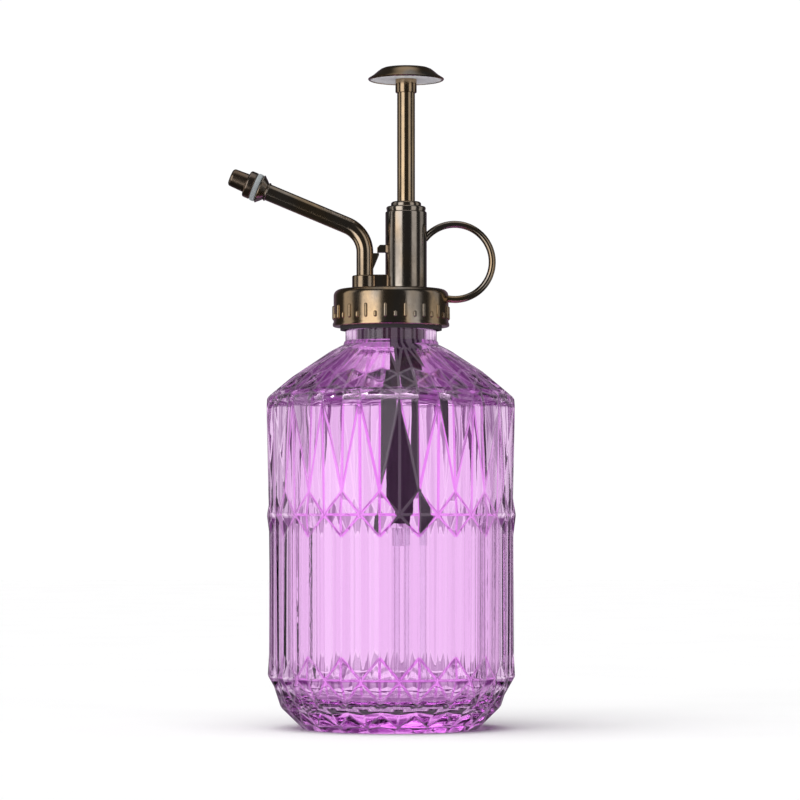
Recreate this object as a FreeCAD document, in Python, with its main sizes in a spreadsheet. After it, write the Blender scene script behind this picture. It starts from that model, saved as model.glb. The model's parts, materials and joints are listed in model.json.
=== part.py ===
"""Hand mister: a pressed-glass bottle with a screw-on, thumb-pressed spray pump.

Frame: origin at the centre of the bottle's base, +Z up along the bottle's axis, the spout reaches
towards -X and the finger ring towards +X. Millimetres and degrees.
"""

import FreeCAD, Part
import math
import os

import Sketcher
from FreeCAD import Placement, Rotation, Vector

# Driving sizes: alias, value, meaning.
SIZES = (
    # Glass bottle
    ("glass_r", 39.0, "radius over the edges of the flat wall panels"),
    ("glass_wall", 3.5, "thickness of the wall"),
    ("panel_count", 40, "flat panels round the wall"),
    ("panel_turn", 4.0, "angle of the first panel edge from +X"),
    ("floor_z", 7.6, "top of the thick glass floor"),
    ("foot_r", 27.4, "radius of the flat foot"),
    ("heel_z", 22.0, "height where the rounded heel meets the wall"),
    ("heel_bend", 26.1, "radius of the rounded heel"),
    ("rim_z", 103.2, "height of the shoulder's rim"),
    ("bead_z", 120.2, "height where the shoulder meets the neck"),
    ("bead_r", 14.8, "radius of the bead under the neck"),
    ("neck_r", 14.3, "radius of the neck below the thread"),
    ("neck_step_z", 124.4, "top of the neck below the thread"),
    ("finish_r", 13.2, "radius at the root of the glass thread"),
    ("neck_bore_r", 11.2, "radius of the mouth"),
    ("mouth_z", 132.4, "height of the mouth's rim"),
    # Screw thread between the glass and the cap
    ("thread_pitch", 3.6, "rise of the thread in one turn"),
    ("thread_rise", 4.5, "height of the threaded stretch"),
    ("glass_thread_z", 125.9, "start height of the glass thread"),
    ("thread_depth", 1.1, "height of the thread's profile"),
    ("thread_sunk", 0.2, "how deep the thread's profile is rooted in its wall"),
    ("glass_thread_root", 1.9, "width of the glass thread at its root"),
    ("glass_thread_crest", 0.9, "width of the glass thread at its crest"),
    ("liner_thread_root", 1.2, "width of the cap's thread at its root"),
    ("liner_thread_crest", 0.7, "width of the cap's thread at its crest"),
    ("liner_thread_z", 125.0, "start height of the cap's thread"),
    # Cap
    ("skirt_r", 18.0, "outer radius of the plated cap"),
    ("skirt_bore_r", 16.0, "inner radius of the plated cap"),
    ("skirt_z", 125.3, "bottom of the plated cap"),
    ("deck_under_z", 135.4, "underside of the cap's deck"),
    ("deck_z", 137.0, "top of the cap's deck"),
    ("deck_bore_r", 12.4, "hole in the deck for the pump body"),
    ("deck_round", 2.0, "rounding between the cap's skirt and its deck"),
    ("grip_count", 18, "long grip ribs, with a short rib after each"),
    ("grip_z", 127.4, "bottom of the grip ribs"),
    ("grip_long", 4.4, "length of a long grip rib"),
    ("grip_short", 2.0, "length of a short grip rib"),
    ("grip_width", 1.1, "width of a grip rib"),
    ("grip_turn", 4.5, "angle of the first long grip rib from +X"),
    ("grip_proud", 0.45, "how far a grip rib stands out of the skirt"),
    ("liner_r", 15.9, "outer radius of the threaded liner"),
    ("liner_bore_r", 14.6, "inner radius of the threaded liner"),
    ("liner_z", 124.2, "bottom of the threaded liner"),
    ("gasket_z", 133.9, "top of the sealing gasket"),
    # Pump body
    ("pump_x", 4.7, "the pump's axis, in front of the bottle's axis"),
    ("barrel_r", 6.5, "outer radius of the barrel"),
    ("barrel_z", 161.5, "top of the barrel"),
    ("flange_r", 13.0, "radius of the flange clamped by the cap"),
    ("plug_r", 10.9, "radius of the plug in the bottle's neck"),
    ("plug_z", 120.7, "bottom of the plug"),
    ("plug_floor_z", 127.0, "underside of the solid part of the plug"),
    ("duct_z", 131.9, "top of the duct from the pump to the spout"),
    ("duct_side", 1.6, "height and width of the duct"),
    ("outlet_seat_rise", 0.6, "height of the outlet valve's seat above the duct"),
    ("outlet_seat_r", 1.2, "radius of the outlet valve's seat"),
    ("spout_x", 8.2, "the spout's axis, behind the bottle's axis"),
    ("socket_r", 4.0, "outer radius of the spout's socket"),
    ("socket_z", 141.4, "top of the spout's socket"),
    ("web_width", 5.0, "width of the web between the barrel and the socket"),
    ("lug_width", 2.6, "width of the barrel's lug"),
    ("wedge_width", 2.4, "width of the wedge on the spout's pipe"),
    ("latch_z", 148.5, "height where the spout's catch meets the barrel's lug"),
    ("latch_gap", 0.1, "distance of the lug and of the wedge from that height"),
    # Spout
    ("pipe_r", 2.65, "outer radius of the spout's pipe"),
    ("pipe_bore_r", 1.5, "inner radius of the spout's pipe"),
    ("pipe_foot_z", 136.8, "bottom end of the pipe in its socket"),
    ("corner_z", 154.8, "height where the pipe's two straight lines meet"),
    ("pipe_bend", 9.2, "radius of the pipe's bend, on its centre line"),
    ("pipe_rise", 22.8, "angle of the slanted stretch above the horizontal"),
    ("pipe_reach", 34.0, "length of the slanted stretch from the corner"),
    ("flare_r", 4.55, "radius of the flared nozzle holder"),
    ("flare_end", 36.0, "end of the flare, from the corner"),
    ("cap_start", 37.8, "start of the nozzle cap, from the corner"),
    ("cap_flange_end", 40.3, "end of the nozzle cap's flange, from the corner"),
    ("tip_end", 45.7, "end of the nozzle, from the corner"),
    ("spigot_short", 0.7, "how far the holder's spigot ends before the flange does"),
    ("swirl_inset", 2.0, "distance from the swirl insert to the nozzle's end"),
    ("orifice_r", 0.35, "radius of the nozzle's opening"),
    # Finger ring
    ("ring_x", 19.9, "centre of the finger ring"),
    ("ring_z", 145.7, "centre of the finger ring"),
    ("ring_r", 11.8, "radius of the finger ring's centre line"),
    ("ring_wire_r", 1.12, "radius of the finger ring's section"),
    ("ring_start", 106.0, "angle of the ring's lower end, below the horizontal"),
    ("ring_sweep", 249.0, "angle that the ring covers"),
    # Pump
    ("cylinder_r", 4.2, "outer radius of the pump cylinder"),
    ("cylinder_bore_r", 3.6, "inner radius of the pump cylinder"),
    ("cylinder_z", 73.0, "bottom of the pump cylinder"),
    ("cylinder_top_z", 158.0, "top of the pump cylinder"),
    ("jacket_r", 5.2, "outer radius of the jacket round the cylinder"),
    ("jacket_bore_r", 4.6, "inner radius of the jacket"),
    ("jacket_z", 64.0, "bottom of the jacket"),
    ("jacket_top_z", 130.3, "top of the jacket, in the plug"),
    ("valve_lip", 1.5, "height of the valve body's lip below the jacket"),
    ("inlet_seat_rise", 1.5, "height of the inlet valve's seat above the jacket's end"),
    ("inlet_seat_r", 1.0, "radius of the inlet valve's seat"),
    ("ball_r", 1.5, "radius of the inlet valve's ball"),
    ("outlet_ball_r", 2.0, "radius of the outlet valve's ball"),
    ("tube_r", 2.45, "outer radius of the dip tube"),
    ("tube_bore_r", 1.6, "inner radius of the dip tube"),
    ("tube_z", 9.0, "bottom of the dip tube"),
    ("spring_r", 2.7, "mean radius of the return spring"),
    ("spring_wire_r", 0.3, "radius of the spring's wire"),
    ("spring_z", 75.0, "seat of the return spring"),
    ("spring_turns", 16, "turns of the return spring"),
    ("piston_z", 122.0, "bottom of the piston at rest"),
    ("piston_top_z", 131.0, "top of the piston at rest"),
    ("piston_r", 3.4, "radius of the piston"),
    ("tenon", 5.0, "length of the rod's tenons in the piston and in the button"),
    # Plunger
    ("rod_r", 2.8, "radius of the plunger's rod"),
    ("rod_top_z", 198.8, "top of the rod, at the button's boss"),
    ("button_r", 11.95, "radius of the button at its widest"),
    ("button_rim_z", 203.7, "height of the button's widest edge"),
    ("button_z", 207.0, "top of the button at rest"),
    ("running_gap", 0.05, "clearance of a sliding fit"),
    ("easy_gap", 0.3, "clearance between pieces that turn past each other"),
)


class Size:
    """A number from the sheet that remembers the formula it comes from."""

    def __init__(self, value, formula):
        self.value = value
        self.formula = formula

    def __add__(self, other):
        other = as_size(other)
        return Size(self.value + other.value, f"({self.formula} + {other.formula})")

    def __sub__(self, other):
        other = as_size(other)
        return Size(self.value - other.value, f"({self.formula} - {other.formula})")

    def __mul__(self, other):
        other = as_size(other)
        return Size(self.value * other.value, f"({self.formula} * {other.formula})")

    def __truediv__(self, other):
        other = as_size(other)
        return Size(self.value / other.value, f"({self.formula} / {other.formula})")

    def __radd__(self, other):
        return as_size(other) + self

    def __rsub__(self, other):
        return as_size(other) - self

    def __rmul__(self, other):
        return as_size(other) * self


def as_size(number):
    """A plain number as a Size, so that both kinds mix in sums."""
    return number if isinstance(number, Size) else Size(float(number), repr(float(number)))


class Sheet:
    """The spreadsheet of driving sizes, read as attributes: sheet.glass_r."""

    def __init__(self, doc):
        cells = doc.addObject("Spreadsheet::Sheet", "Sizes")
        for row, (alias, value, meaning) in enumerate(SIZES, start=1):
            cells.set(f"A{row}", meaning)
            cells.set(f"B{row}", str(value))
            cells.setAlias(f"B{row}", alias)
            setattr(self, alias, Size(value, f"Sizes.{alias}"))
        doc.recompute()


def bind(feature, prop, size):
    """Ties one property of a feature to the sheet."""
    feature.setExpression(prop, as_size(size).formula)


# ---------------------------------------------------------------- sketches and features


def origin_feature(body, role):
    """The body's own origin plane or axis with this role."""
    return next(f for f in body.Origin.OriginFeatures if f.Role == role)


def attach(body, name, plane, lift=0):
    """A new sketch on one of the body's origin planes, lifted along the plane's normal."""
    sketch = body.newObject("Sketcher::SketchObject", name)
    sketch.AttachmentSupport = (origin_feature(body, plane), [""])
    sketch.MapMode = "FlatFace"
    sketch.AttachmentOffset = Placement(Vector(0, 0, as_size(lift).value), Rotation())
    bind(sketch, "AttachmentOffset.Base.z", lift)
    return sketch


def fix_coordinate(sketch, kind, geometry, end, size):
    """Holds one coordinate of a point at a size from the sheet."""
    size = as_size(size)
    if abs(size.value) < 1e-9:
        axis = -2 if kind == "DistanceX" else -1
        sketch.addConstraint(Sketcher.Constraint("PointOnObject", geometry, end, axis))
        return
    origin, point = (-1, 1), (geometry, end)
    ends = origin + point if size.value > 0 else point + origin
    distance = size if size.value > 0 else 0 - size
    index = sketch.addConstraint(Sketcher.Constraint(kind, *ends, distance.value))
    sketch.setExpression(f"Constraints[{index}]", distance.formula)


def fix_point(sketch, geometry, end, point):
    """Holds both coordinates of a point."""
    fix_coordinate(sketch, "DistanceX", geometry, end, point[0])
    fix_coordinate(sketch, "DistanceY", geometry, end, point[1])


def arc_through(start, end, radius):
    """An arc between two points; a positive radius bulges to the right of the way from start to end."""
    half = (end - start) * 0.5
    side = Vector(half.y, -half.x, 0).normalize()
    height = math.sqrt(radius * radius - half.Length * half.Length)
    centre = start + half - side * math.copysign(height, radius)
    crown = centre + side * radius
    return Part.Arc(start, crown, end)


def draw_outline(sketch, points, arcs=None):
    """A closed outline of lines; arcs gives the bulge radius of the side that starts at a point."""
    arcs = arcs or {}
    corners = [Vector(as_size(x).value, as_size(y).value, 0) for x, y in points]
    ends = []
    for index, start in enumerate(corners):
        end = corners[(index + 1) % len(corners)]
        if index in arcs:
            radius = as_size(arcs[index])
            sketch.addGeometry(arc_through(start, end, radius.value), False)
            ends.append((1, 2) if radius.value > 0 else (2, 1))
        else:
            sketch.addGeometry(Part.LineSegment(start, end), False)
            ends.append((1, 2))
    for index, (_, last) in enumerate(ends):
        following = (index + 1) % len(ends)
        joint = (index, last, following, ends[following][0])
        sketch.addConstraint(Sketcher.Constraint("Coincident", *joint))
    for index, point in enumerate(points):
        fix_point(sketch, index, ends[index][0], point)
    for index, radius in arcs.items():
        size = as_size(radius)
        size = size if size.value > 0 else 0 - size
        row = sketch.addConstraint(Sketcher.Constraint("Radius", index, size.value))
        sketch.setExpression(f"Constraints[{row}]", size.formula)


def draw_circle(sketch, centre, radius):
    """A circle held by its centre and radius."""
    radius = as_size(radius)
    middle = Vector(as_size(centre[0]).value, as_size(centre[1]).value, 0)
    index = sketch.addGeometry(Part.Circle(middle, Vector(0, 0, 1), radius.value), False)
    row = sketch.addConstraint(Sketcher.Constraint("Radius", index, radius.value))
    sketch.setExpression(f"Constraints[{row}]", radius.formula)
    fix_point(sketch, index, 3, centre)


def box_outline(low_x, low_y, high_x, high_y):
    """The corners of a rectangle."""
    return [(low_x, low_y), (high_x, low_y), (high_x, high_y), (low_x, high_y)]


def turn(body, points, arcs=None, cut=False):
    """Revolves an outline of (radius, height) points about the body's Z axis."""
    name = "Groove" if cut else "Revolution"
    sketch = attach(body, "TurnedOutline", "XZ_Plane")
    draw_outline(sketch, points, arcs)
    feature = body.newObject(f"PartDesign::{name}", name)
    feature.Profile = sketch
    feature.ReferenceAxis = (sketch, ["V_Axis"])
    feature.Angle = 360
    return feature


def extrude(body, sketch, length, cut=False, both_sides=False):
    """Pads a sketch, or pockets it downwards, and checks that a pocket removes something."""
    name = "Pocket" if cut else "Pad"
    before = body.Shape.Volume if cut else None
    feature = body.newObject(f"PartDesign::{name}", name)
    feature.Profile = sketch
    feature.SideType = "Symmetric" if both_sides else "One side"
    bind(feature, "Length", length)
    body.Document.recompute()
    if cut and not body.Shape.Volume < before:
        raise ValueError(f"{body.Label}: {feature.Name} removes nothing")
    return feature


def post(body, x, radius, bottom, top):
    """A round post standing on a height of the body."""
    sketch = attach(body, "PostOutline", "XY_Plane", bottom)
    draw_circle(sketch, (x, 0), radius)
    return extrude(body, sketch, top - bottom)


def bore(body, x, radius, bottom, top):
    """A round hole cut down from a height of the body."""
    body.Document.recompute()
    sketch = attach(body, "BoreOutline", "XY_Plane", top)
    draw_circle(sketch, (x, 0), radius)
    return extrude(body, sketch, top - bottom, cut=True)


def repeat_round(body, feature, count):
    """Repeats a feature round the body's Z axis."""
    pattern = body.newObject("PartDesign::PolarPattern", "PolarPattern")
    pattern.Originals = [feature]
    pattern.Axis = (origin_feature(body, "Z_Axis"), [""])
    pattern.Angle = 360
    bind(pattern, "Occurrences", count)
    body.Tip = pattern
    return pattern


def new_body(doc, label, x=0, z=0, tilt=None):
    """A body whose own axis stands at x, z; tilt leans that axis from +Z towards -X."""
    body = doc.addObject("PartDesign::Body", f"{label}_body")
    body.Label = label
    lean = as_size(tilt if tilt is not None else 0)
    place = f"create(<<vector>>; {as_size(x).formula}; 0; {as_size(z).formula})"
    turned = f"create(<<rotation>>; create(<<vector>>; 0; -1; 0); {lean.formula})"
    body.setExpression("Placement", f"create(<<placement>>; {place}; {turned})")
    return body


def turned_piece(doc, label, points, arcs=None, x=0, z=0, tilt=None):
    """A piece that is one solid of revolution."""
    body = new_body(doc, label, x, z, tilt)
    turn(body, points, arcs)
    return body


def tube(doc, label, x, inner, outer, bottom, top):
    """A straight tube or ring about a vertical axis."""
    return turned_piece(doc, label, box_outline(inner, bottom, outer, top), x=x)


def screw_thread(doc, name, sheet, radius, start_z, root, crest, depth):
    """A trapezium swept up the thread's helix, rooted slightly inside the wall it stands on."""
    helix = doc.addObject("Part::Helix", f"{name}_helix")
    bind(helix, "Pitch", sheet.thread_pitch)
    bind(helix, "Height", sheet.thread_rise)
    bind(helix, "Radius", radius)
    bind(helix, "Placement.Base.z", start_z)
    profile = doc.addObject("Sketcher::SketchObject", f"{name}_profile")
    profile.Placement = Placement(Vector(0, 0, 0), Rotation(Vector(1, 0, 0), 90))
    outline = [
        (radius, start_z - root / 2),
        (radius + depth, start_z - crest / 2),
        (radius + depth, start_z + crest / 2),
        (radius, start_z + root / 2),
    ]
    draw_outline(profile, outline)
    doc.recompute()
    sweep = doc.addObject("Part::Sweep", f"{name}_sweep")
    sweep.Sections = [profile]
    sweep.Spine = (helix, ["Edge1"])
    sweep.Solid = True
    sweep.Frenet = True
    return sweep


# ---------------------------------------------------------------- bottle and its seal


def make_bottle(doc, sheet):
    """The pressed-glass bottle: a many-sided wall, cone shoulder, threaded mouth, thick floor."""
    blank = new_body(doc, "bottle_blank")
    inner_r = sheet.glass_r - sheet.glass_wall
    uncut_r = sheet.glass_r + 0.1
    outline = [
        (0, 0),
        (sheet.foot_r, 0),
        (uncut_r, sheet.heel_z),
        (uncut_r, sheet.rim_z - 0.4),
        (sheet.glass_r - 0.9, sheet.rim_z + 1),
        (sheet.bead_r + 0.4, sheet.bead_z - 1),
        (sheet.bead_r, sheet.bead_z - 0.6),
        (sheet.bead_r, sheet.bead_z + 0.2),
        (sheet.neck_r, sheet.bead_z + 0.7),
        (sheet.neck_r, sheet.neck_step_z - 0.4),
        (sheet.finish_r, sheet.neck_step_z),
        (sheet.finish_r, sheet.mouth_z - 0.4),
        (sheet.finish_r - 0.4, sheet.mouth_z),
        (sheet.neck_bore_r, sheet.mouth_z),
        (sheet.neck_bore_r, sheet.bead_z - 2),
        (sheet.neck_bore_r + 2, sheet.bead_z - 4),
        (inner_r, sheet.rim_z - 2.2),
        (inner_r, sheet.floor_z + 5),
        (inner_r - 4, sheet.floor_z),
        (0, sheet.floor_z),
    ]
    turn(blank, outline, {1: sheet.heel_bend})
    panels = doc.addObject("Part::Prism", "wall_panels")
    bind(panels, "Polygon", sheet.panel_count)
    bind(panels, "Circumradius", sheet.glass_r)
    bind(panels, "Height", sheet.mouth_z + 5)
    panels.Placement = Placement(Vector(), Rotation(Vector(0, 0, 1), sheet.panel_turn.value))
    panelled = doc.addObject("Part::Common", "panelled_blank")
    panelled.Base, panelled.Tool = blank, panels
    root_r = sheet.finish_r - sheet.thread_sunk
    depth = sheet.thread_depth + sheet.thread_sunk
    root, crest = sheet.glass_thread_root, sheet.glass_thread_crest
    thread = screw_thread(doc, "glass_thread", sheet, root_r, sheet.glass_thread_z, root, crest, depth)
    thread.Placement = Placement(Vector(), Rotation(Vector(0, 0, 1), -90))
    bottle = doc.addObject("Part::Fuse", "bottle_fuse")
    bottle.Base, bottle.Tool = panelled, thread
    bottle.Label = "bottle"
    return bottle


def make_gasket(doc, sheet):
    """The flat gasket between the bottle's mouth and the pump body's flange."""
    inner = sheet.plug_r + sheet.easy_gap
    outer = sheet.liner_bore_r - sheet.easy_gap
    return tube(doc, "cap_gasket", 0, inner, outer, sheet.mouth_z, sheet.gasket_z)


# ---------------------------------------------------------------- cap


def make_collar(doc, sheet):
    """The plated cap, with long and short grip ribs above its rim."""
    body = new_body(doc, "collar")
    outline = [
        (sheet.skirt_bore_r, sheet.skirt_z),
        (sheet.skirt_r, sheet.skirt_z),
        (sheet.skirt_r, sheet.deck_z - sheet.deck_round),
        (sheet.skirt_r - sheet.deck_round, sheet.deck_z),
        (sheet.deck_bore_r, sheet.deck_z),
        (sheet.deck_bore_r, sheet.deck_under_z),
        (sheet.skirt_bore_r, sheet.deck_under_z),
    ]
    turn(body, outline, {2: sheet.deck_round})
    first = sheet.grip_turn.value
    halfway = first + 180 / sheet.grip_count.value
    for turn_angle, length in ((first, sheet.grip_long), (halfway, sheet.grip_short)):
        sketch = attach(body, "GripOutline", "XY_Plane", sheet.grip_z)
        sketch.AttachmentOffset = Placement(
            Vector(0, 0, sheet.grip_z.value), Rotation(Vector(0, 0, 1), turn_angle)
        )
        half = sheet.grip_width / 2
        low_x, high_x = sheet.skirt_r - 0.4, sheet.skirt_r + sheet.grip_proud
        draw_outline(sketch, box_outline(low_x, 0 - half, high_x, half))
        repeat_round(body, extrude(body, sketch, length), sheet.grip_count)
    return body


def make_thread_liner(doc, sheet):
    """The threaded plastic liner that the plated cap hides."""
    blank = new_body(doc, "liner_blank")
    flange_bore_r = sheet.flange_r + 0.1
    outline = [
        (sheet.liner_bore_r, sheet.liner_z),
        (sheet.liner_r, sheet.liner_z),
        (sheet.liner_r, sheet.deck_under_z),
        (flange_bore_r, sheet.deck_under_z),
        (flange_bore_r, sheet.gasket_z),
        (sheet.liner_bore_r, sheet.gasket_z),
    ]
    turn(blank, outline)
    root_r = sheet.liner_bore_r + sheet.thread_sunk
    depth = 0 - (sheet.thread_depth + sheet.thread_sunk)
    root, crest = sheet.liner_thread_root, sheet.liner_thread_crest
    thread = screw_thread(doc, "liner_thread", sheet, root_r, sheet.liner_thread_z, root, crest, depth)
    liner = doc.addObject("Part::Fuse", "liner_fuse")
    liner.Base, liner.Tool = blank, thread
    liner.Label = "thread_liner"
    return liner


# ---------------------------------------------------------------- pump body and finger ring


def make_pump_body(doc, sheet):
    """The plated pump body: neck plug, flange, barrel, spout socket and the lug of the spout's catch."""
    body = new_body(doc, "pump_body")
    skirt_bore = sheet.plug_r - 0.8
    boss_r = sheet.deck_bore_r - sheet.running_gap
    outline = [
        (0, sheet.plug_floor_z),
        (skirt_bore, sheet.plug_floor_z),
        (skirt_bore, sheet.plug_z),
        (sheet.plug_r, sheet.plug_z),
        (sheet.plug_r, sheet.gasket_z),
        (sheet.flange_r, sheet.gasket_z),
        (sheet.flange_r, sheet.deck_under_z),
        (boss_r, sheet.deck_under_z),
        (boss_r, sheet.deck_z),
        (0, sheet.deck_z),
    ]
    turn(body, outline)
    sunk = sheet.deck_z - 0.5
    spout = 0 - sheet.spout_x
    post(body, sheet.pump_x, sheet.barrel_r, sunk, sheet.barrel_z)
    post(body, spout, sheet.socket_r, sunk, sheet.socket_z)

    web = attach(body, "WebOutline", "XY_Plane", sunk)
    side = sheet.web_width / 2
    draw_outline(web, box_outline(spout + 1, 0 - side, sheet.pump_x - sheet.barrel_r + 1, side))
    extrude(body, web, sheet.socket_z + 0.2 - sunk)

    lug = attach(body, "LugOutline", "XZ_Plane")
    lug_root, lug_tip = sheet.pump_x - sheet.barrel_r + 0.8, spout + 3.8
    lug_z = sheet.latch_z + sheet.latch_gap
    lug_corners = [
        (lug_tip, lug_z),
        (lug_root, lug_z),
        (lug_root, lug_z + 2.4),
        (lug_tip + 0.9, lug_z + 2.4),
        (lug_tip, lug_z + 1.5),
    ]
    draw_outline(lug, lug_corners)
    extrude(body, lug, sheet.lug_width, both_sides=True)

    bore(body, sheet.pump_x, sheet.cylinder_r + sheet.running_gap, sheet.plug_floor_z, sheet.barrel_z)
    bore(body, sheet.pump_x, sheet.jacket_r + sheet.running_gap, sheet.plug_floor_z, sheet.jacket_top_z)
    duct_low = sheet.duct_z - sheet.duct_side
    bore(body, sheet.pump_x, sheet.jacket_bore_r + sheet.easy_gap, duct_low, sheet.duct_z)
    duct = attach(body, "DuctOutline", "XY_Plane", sheet.duct_z)
    half = sheet.duct_side / 2
    draw_outline(duct, box_outline(spout - half, 0 - half, sheet.pump_x - 4, half))
    extrude(body, duct, sheet.duct_side, cut=True)

    seat_z = sheet.duct_z + sheet.outlet_seat_rise
    mouth_z = sheet.socket_z + 0.3
    bore(body, spout, sheet.socket_r - 0.6, sheet.socket_z - 1.2, mouth_z)
    bore(body, spout, sheet.pipe_r + sheet.running_gap, sheet.pipe_foot_z, mouth_z)
    bore(body, spout, sheet.outlet_ball_r + sheet.easy_gap, seat_z, sheet.pipe_foot_z)
    bore(body, spout, sheet.outlet_seat_r, sheet.duct_z, seat_z)
    return body


def make_finger_ring(doc, sheet):
    """The finger ring, whose two ends are set in the barrel's side and the cap's side."""
    ring = doc.addObject("Part::Torus", "finger_ring_torus")
    ring.Label = "finger_ring"
    bind(ring, "Radius1", sheet.ring_r)
    bind(ring, "Radius2", sheet.ring_wire_r)
    bind(ring, "Angle3", sheet.ring_sweep)
    upright = Rotation(Vector(1, 0, 0), 90)
    start = Rotation(Vector(0, 0, 1), -sheet.ring_start.value)
    centre = Vector(sheet.ring_x.value, 0, sheet.ring_z.value)
    ring.Placement = Placement(centre, upright.multiply(start))
    return ring


def make_gland(doc, sheet):
    """The gland that closes the barrel and guides the rod, with its sealing ring."""
    guide = sheet.rod_r + sheet.running_gap
    foot_r, neck_r = sheet.barrel_r - 0.3, sheet.barrel_r - 1.7
    foot_top, top = sheet.barrel_z + 1.6, sheet.barrel_z + 3.1
    seal_width, seal_height, play = 0.95, 1.0, 0.05
    groove_low = sheet.cylinder_top_z + 1.2
    groove_high = groove_low + seal_height + play * 2
    groove_r = guide + seal_width + play
    outline = [
        (guide, sheet.cylinder_top_z),
        (sheet.cylinder_r, sheet.cylinder_top_z),
        (sheet.cylinder_r, sheet.barrel_z),
        (foot_r, sheet.barrel_z),
        (foot_r, foot_top - 0.1),
        (neck_r, foot_top),
        (neck_r, top - 0.5),
        (neck_r - 0.5, top),
        (guide, top),
        (guide, groove_high),
        (groove_r, groove_high),
        (groove_r, groove_low),
        (guide, groove_low),
    ]
    seal = box_outline(guide, groove_low + play, guide + seal_width, groove_high - play)
    return [
        turned_piece(doc, "barrel_gland", outline, x=sheet.pump_x),
        turned_piece(doc, "gland_seal", seal, x=sheet.pump_x),
    ]


# ---------------------------------------------------------------- spout


def make_spout_pipe(doc, sheet):
    """The bent pipe, with the wedge that snaps under the barrel's lug."""
    body = new_body(doc, "spout_pipe", x=0 - sheet.spout_x)
    lean = math.radians(90 - sheet.pipe_rise.value)
    setback = sheet.pipe_bend.value * math.tan(lean / 2)
    along = Vector(-math.sin(lean), math.cos(lean), 0)
    corner = Vector(0, sheet.corner_z.value, 0)
    foot = Vector(0, sheet.pipe_foot_z.value, 0)
    bend_low, bend_high = corner - Vector(0, setback, 0), corner + along * setback
    bend_centre = bend_low - Vector(sheet.pipe_bend.value, 0, 0)
    middle = bend_centre + (corner - bend_centre).normalize() * sheet.pipe_bend.value
    path = attach(body, "PipePath", "XZ_Plane")
    path.addGeometry(Part.LineSegment(foot, bend_low), False)
    path.addGeometry(Part.Arc(bend_low, middle, bend_high), False)
    path.addGeometry(Part.LineSegment(bend_high, corner + along * sheet.pipe_reach.value), False)
    for geometry, end, following, start in ((0, 2, 1, 1), (1, 2, 2, 1)):
        path.addConstraint(Sketcher.Constraint("Tangent", geometry, end, following, start))
    fix_point(path, 0, 1, (0, sheet.pipe_foot_z))
    path.addConstraint(Sketcher.Constraint("Vertical", 0))
    index = path.addConstraint(Sketcher.Constraint("Radius", 1, sheet.pipe_bend.value))
    path.setExpression(f"Constraints[{index}]", sheet.pipe_bend.formula)
    for kind, length in (("DistanceX", -along.x), ("DistanceY", along.y)):
        reach = sheet.pipe_reach.value * length
        ends = (2, 2, -1, 1) if kind == "DistanceX" else (-1, 1, 2, 2)
        rise = sheet.corner_z.value if kind == "DistanceY" else 0
        part = "cos" if kind == "DistanceX" else "sin"
        formula = f"{sheet.pipe_reach.formula} * {part}({sheet.pipe_rise.formula} * 1 deg)"
        index = path.addConstraint(Sketcher.Constraint(kind, *ends, reach + rise))
        if rise:
            formula = f"{sheet.corner_z.formula} + {formula}"
        path.setExpression(f"Constraints[{index}]", formula)
    doc.recompute()
    for kind, radius in (("AdditivePipe", sheet.pipe_r), ("SubtractivePipe", sheet.pipe_bore_r)):
        section = attach(body, "PipeSection", "XY_Plane", sheet.pipe_foot_z)
        draw_circle(section, (0, 0), radius)
        pipe = body.newObject(f"PartDesign::{kind}", kind)
        pipe.Profile = section
        pipe.Spine = (path, ["Edge1", "Edge2", "Edge3"])
        doc.recompute()
    wedge = attach(body, "WedgeOutline", "XZ_Plane")
    root, tip = sheet.pipe_r - 0.6, sheet.pipe_r + 1.8
    top = sheet.latch_z - sheet.latch_gap
    corners = [(root, top - 5.4), (sheet.pipe_r, top - 4.8), (tip, top - 0.5), (tip, top), (root, top)]
    draw_outline(wedge, corners)
    extrude(body, wedge, sheet.wedge_width, both_sides=True)
    return body


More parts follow.
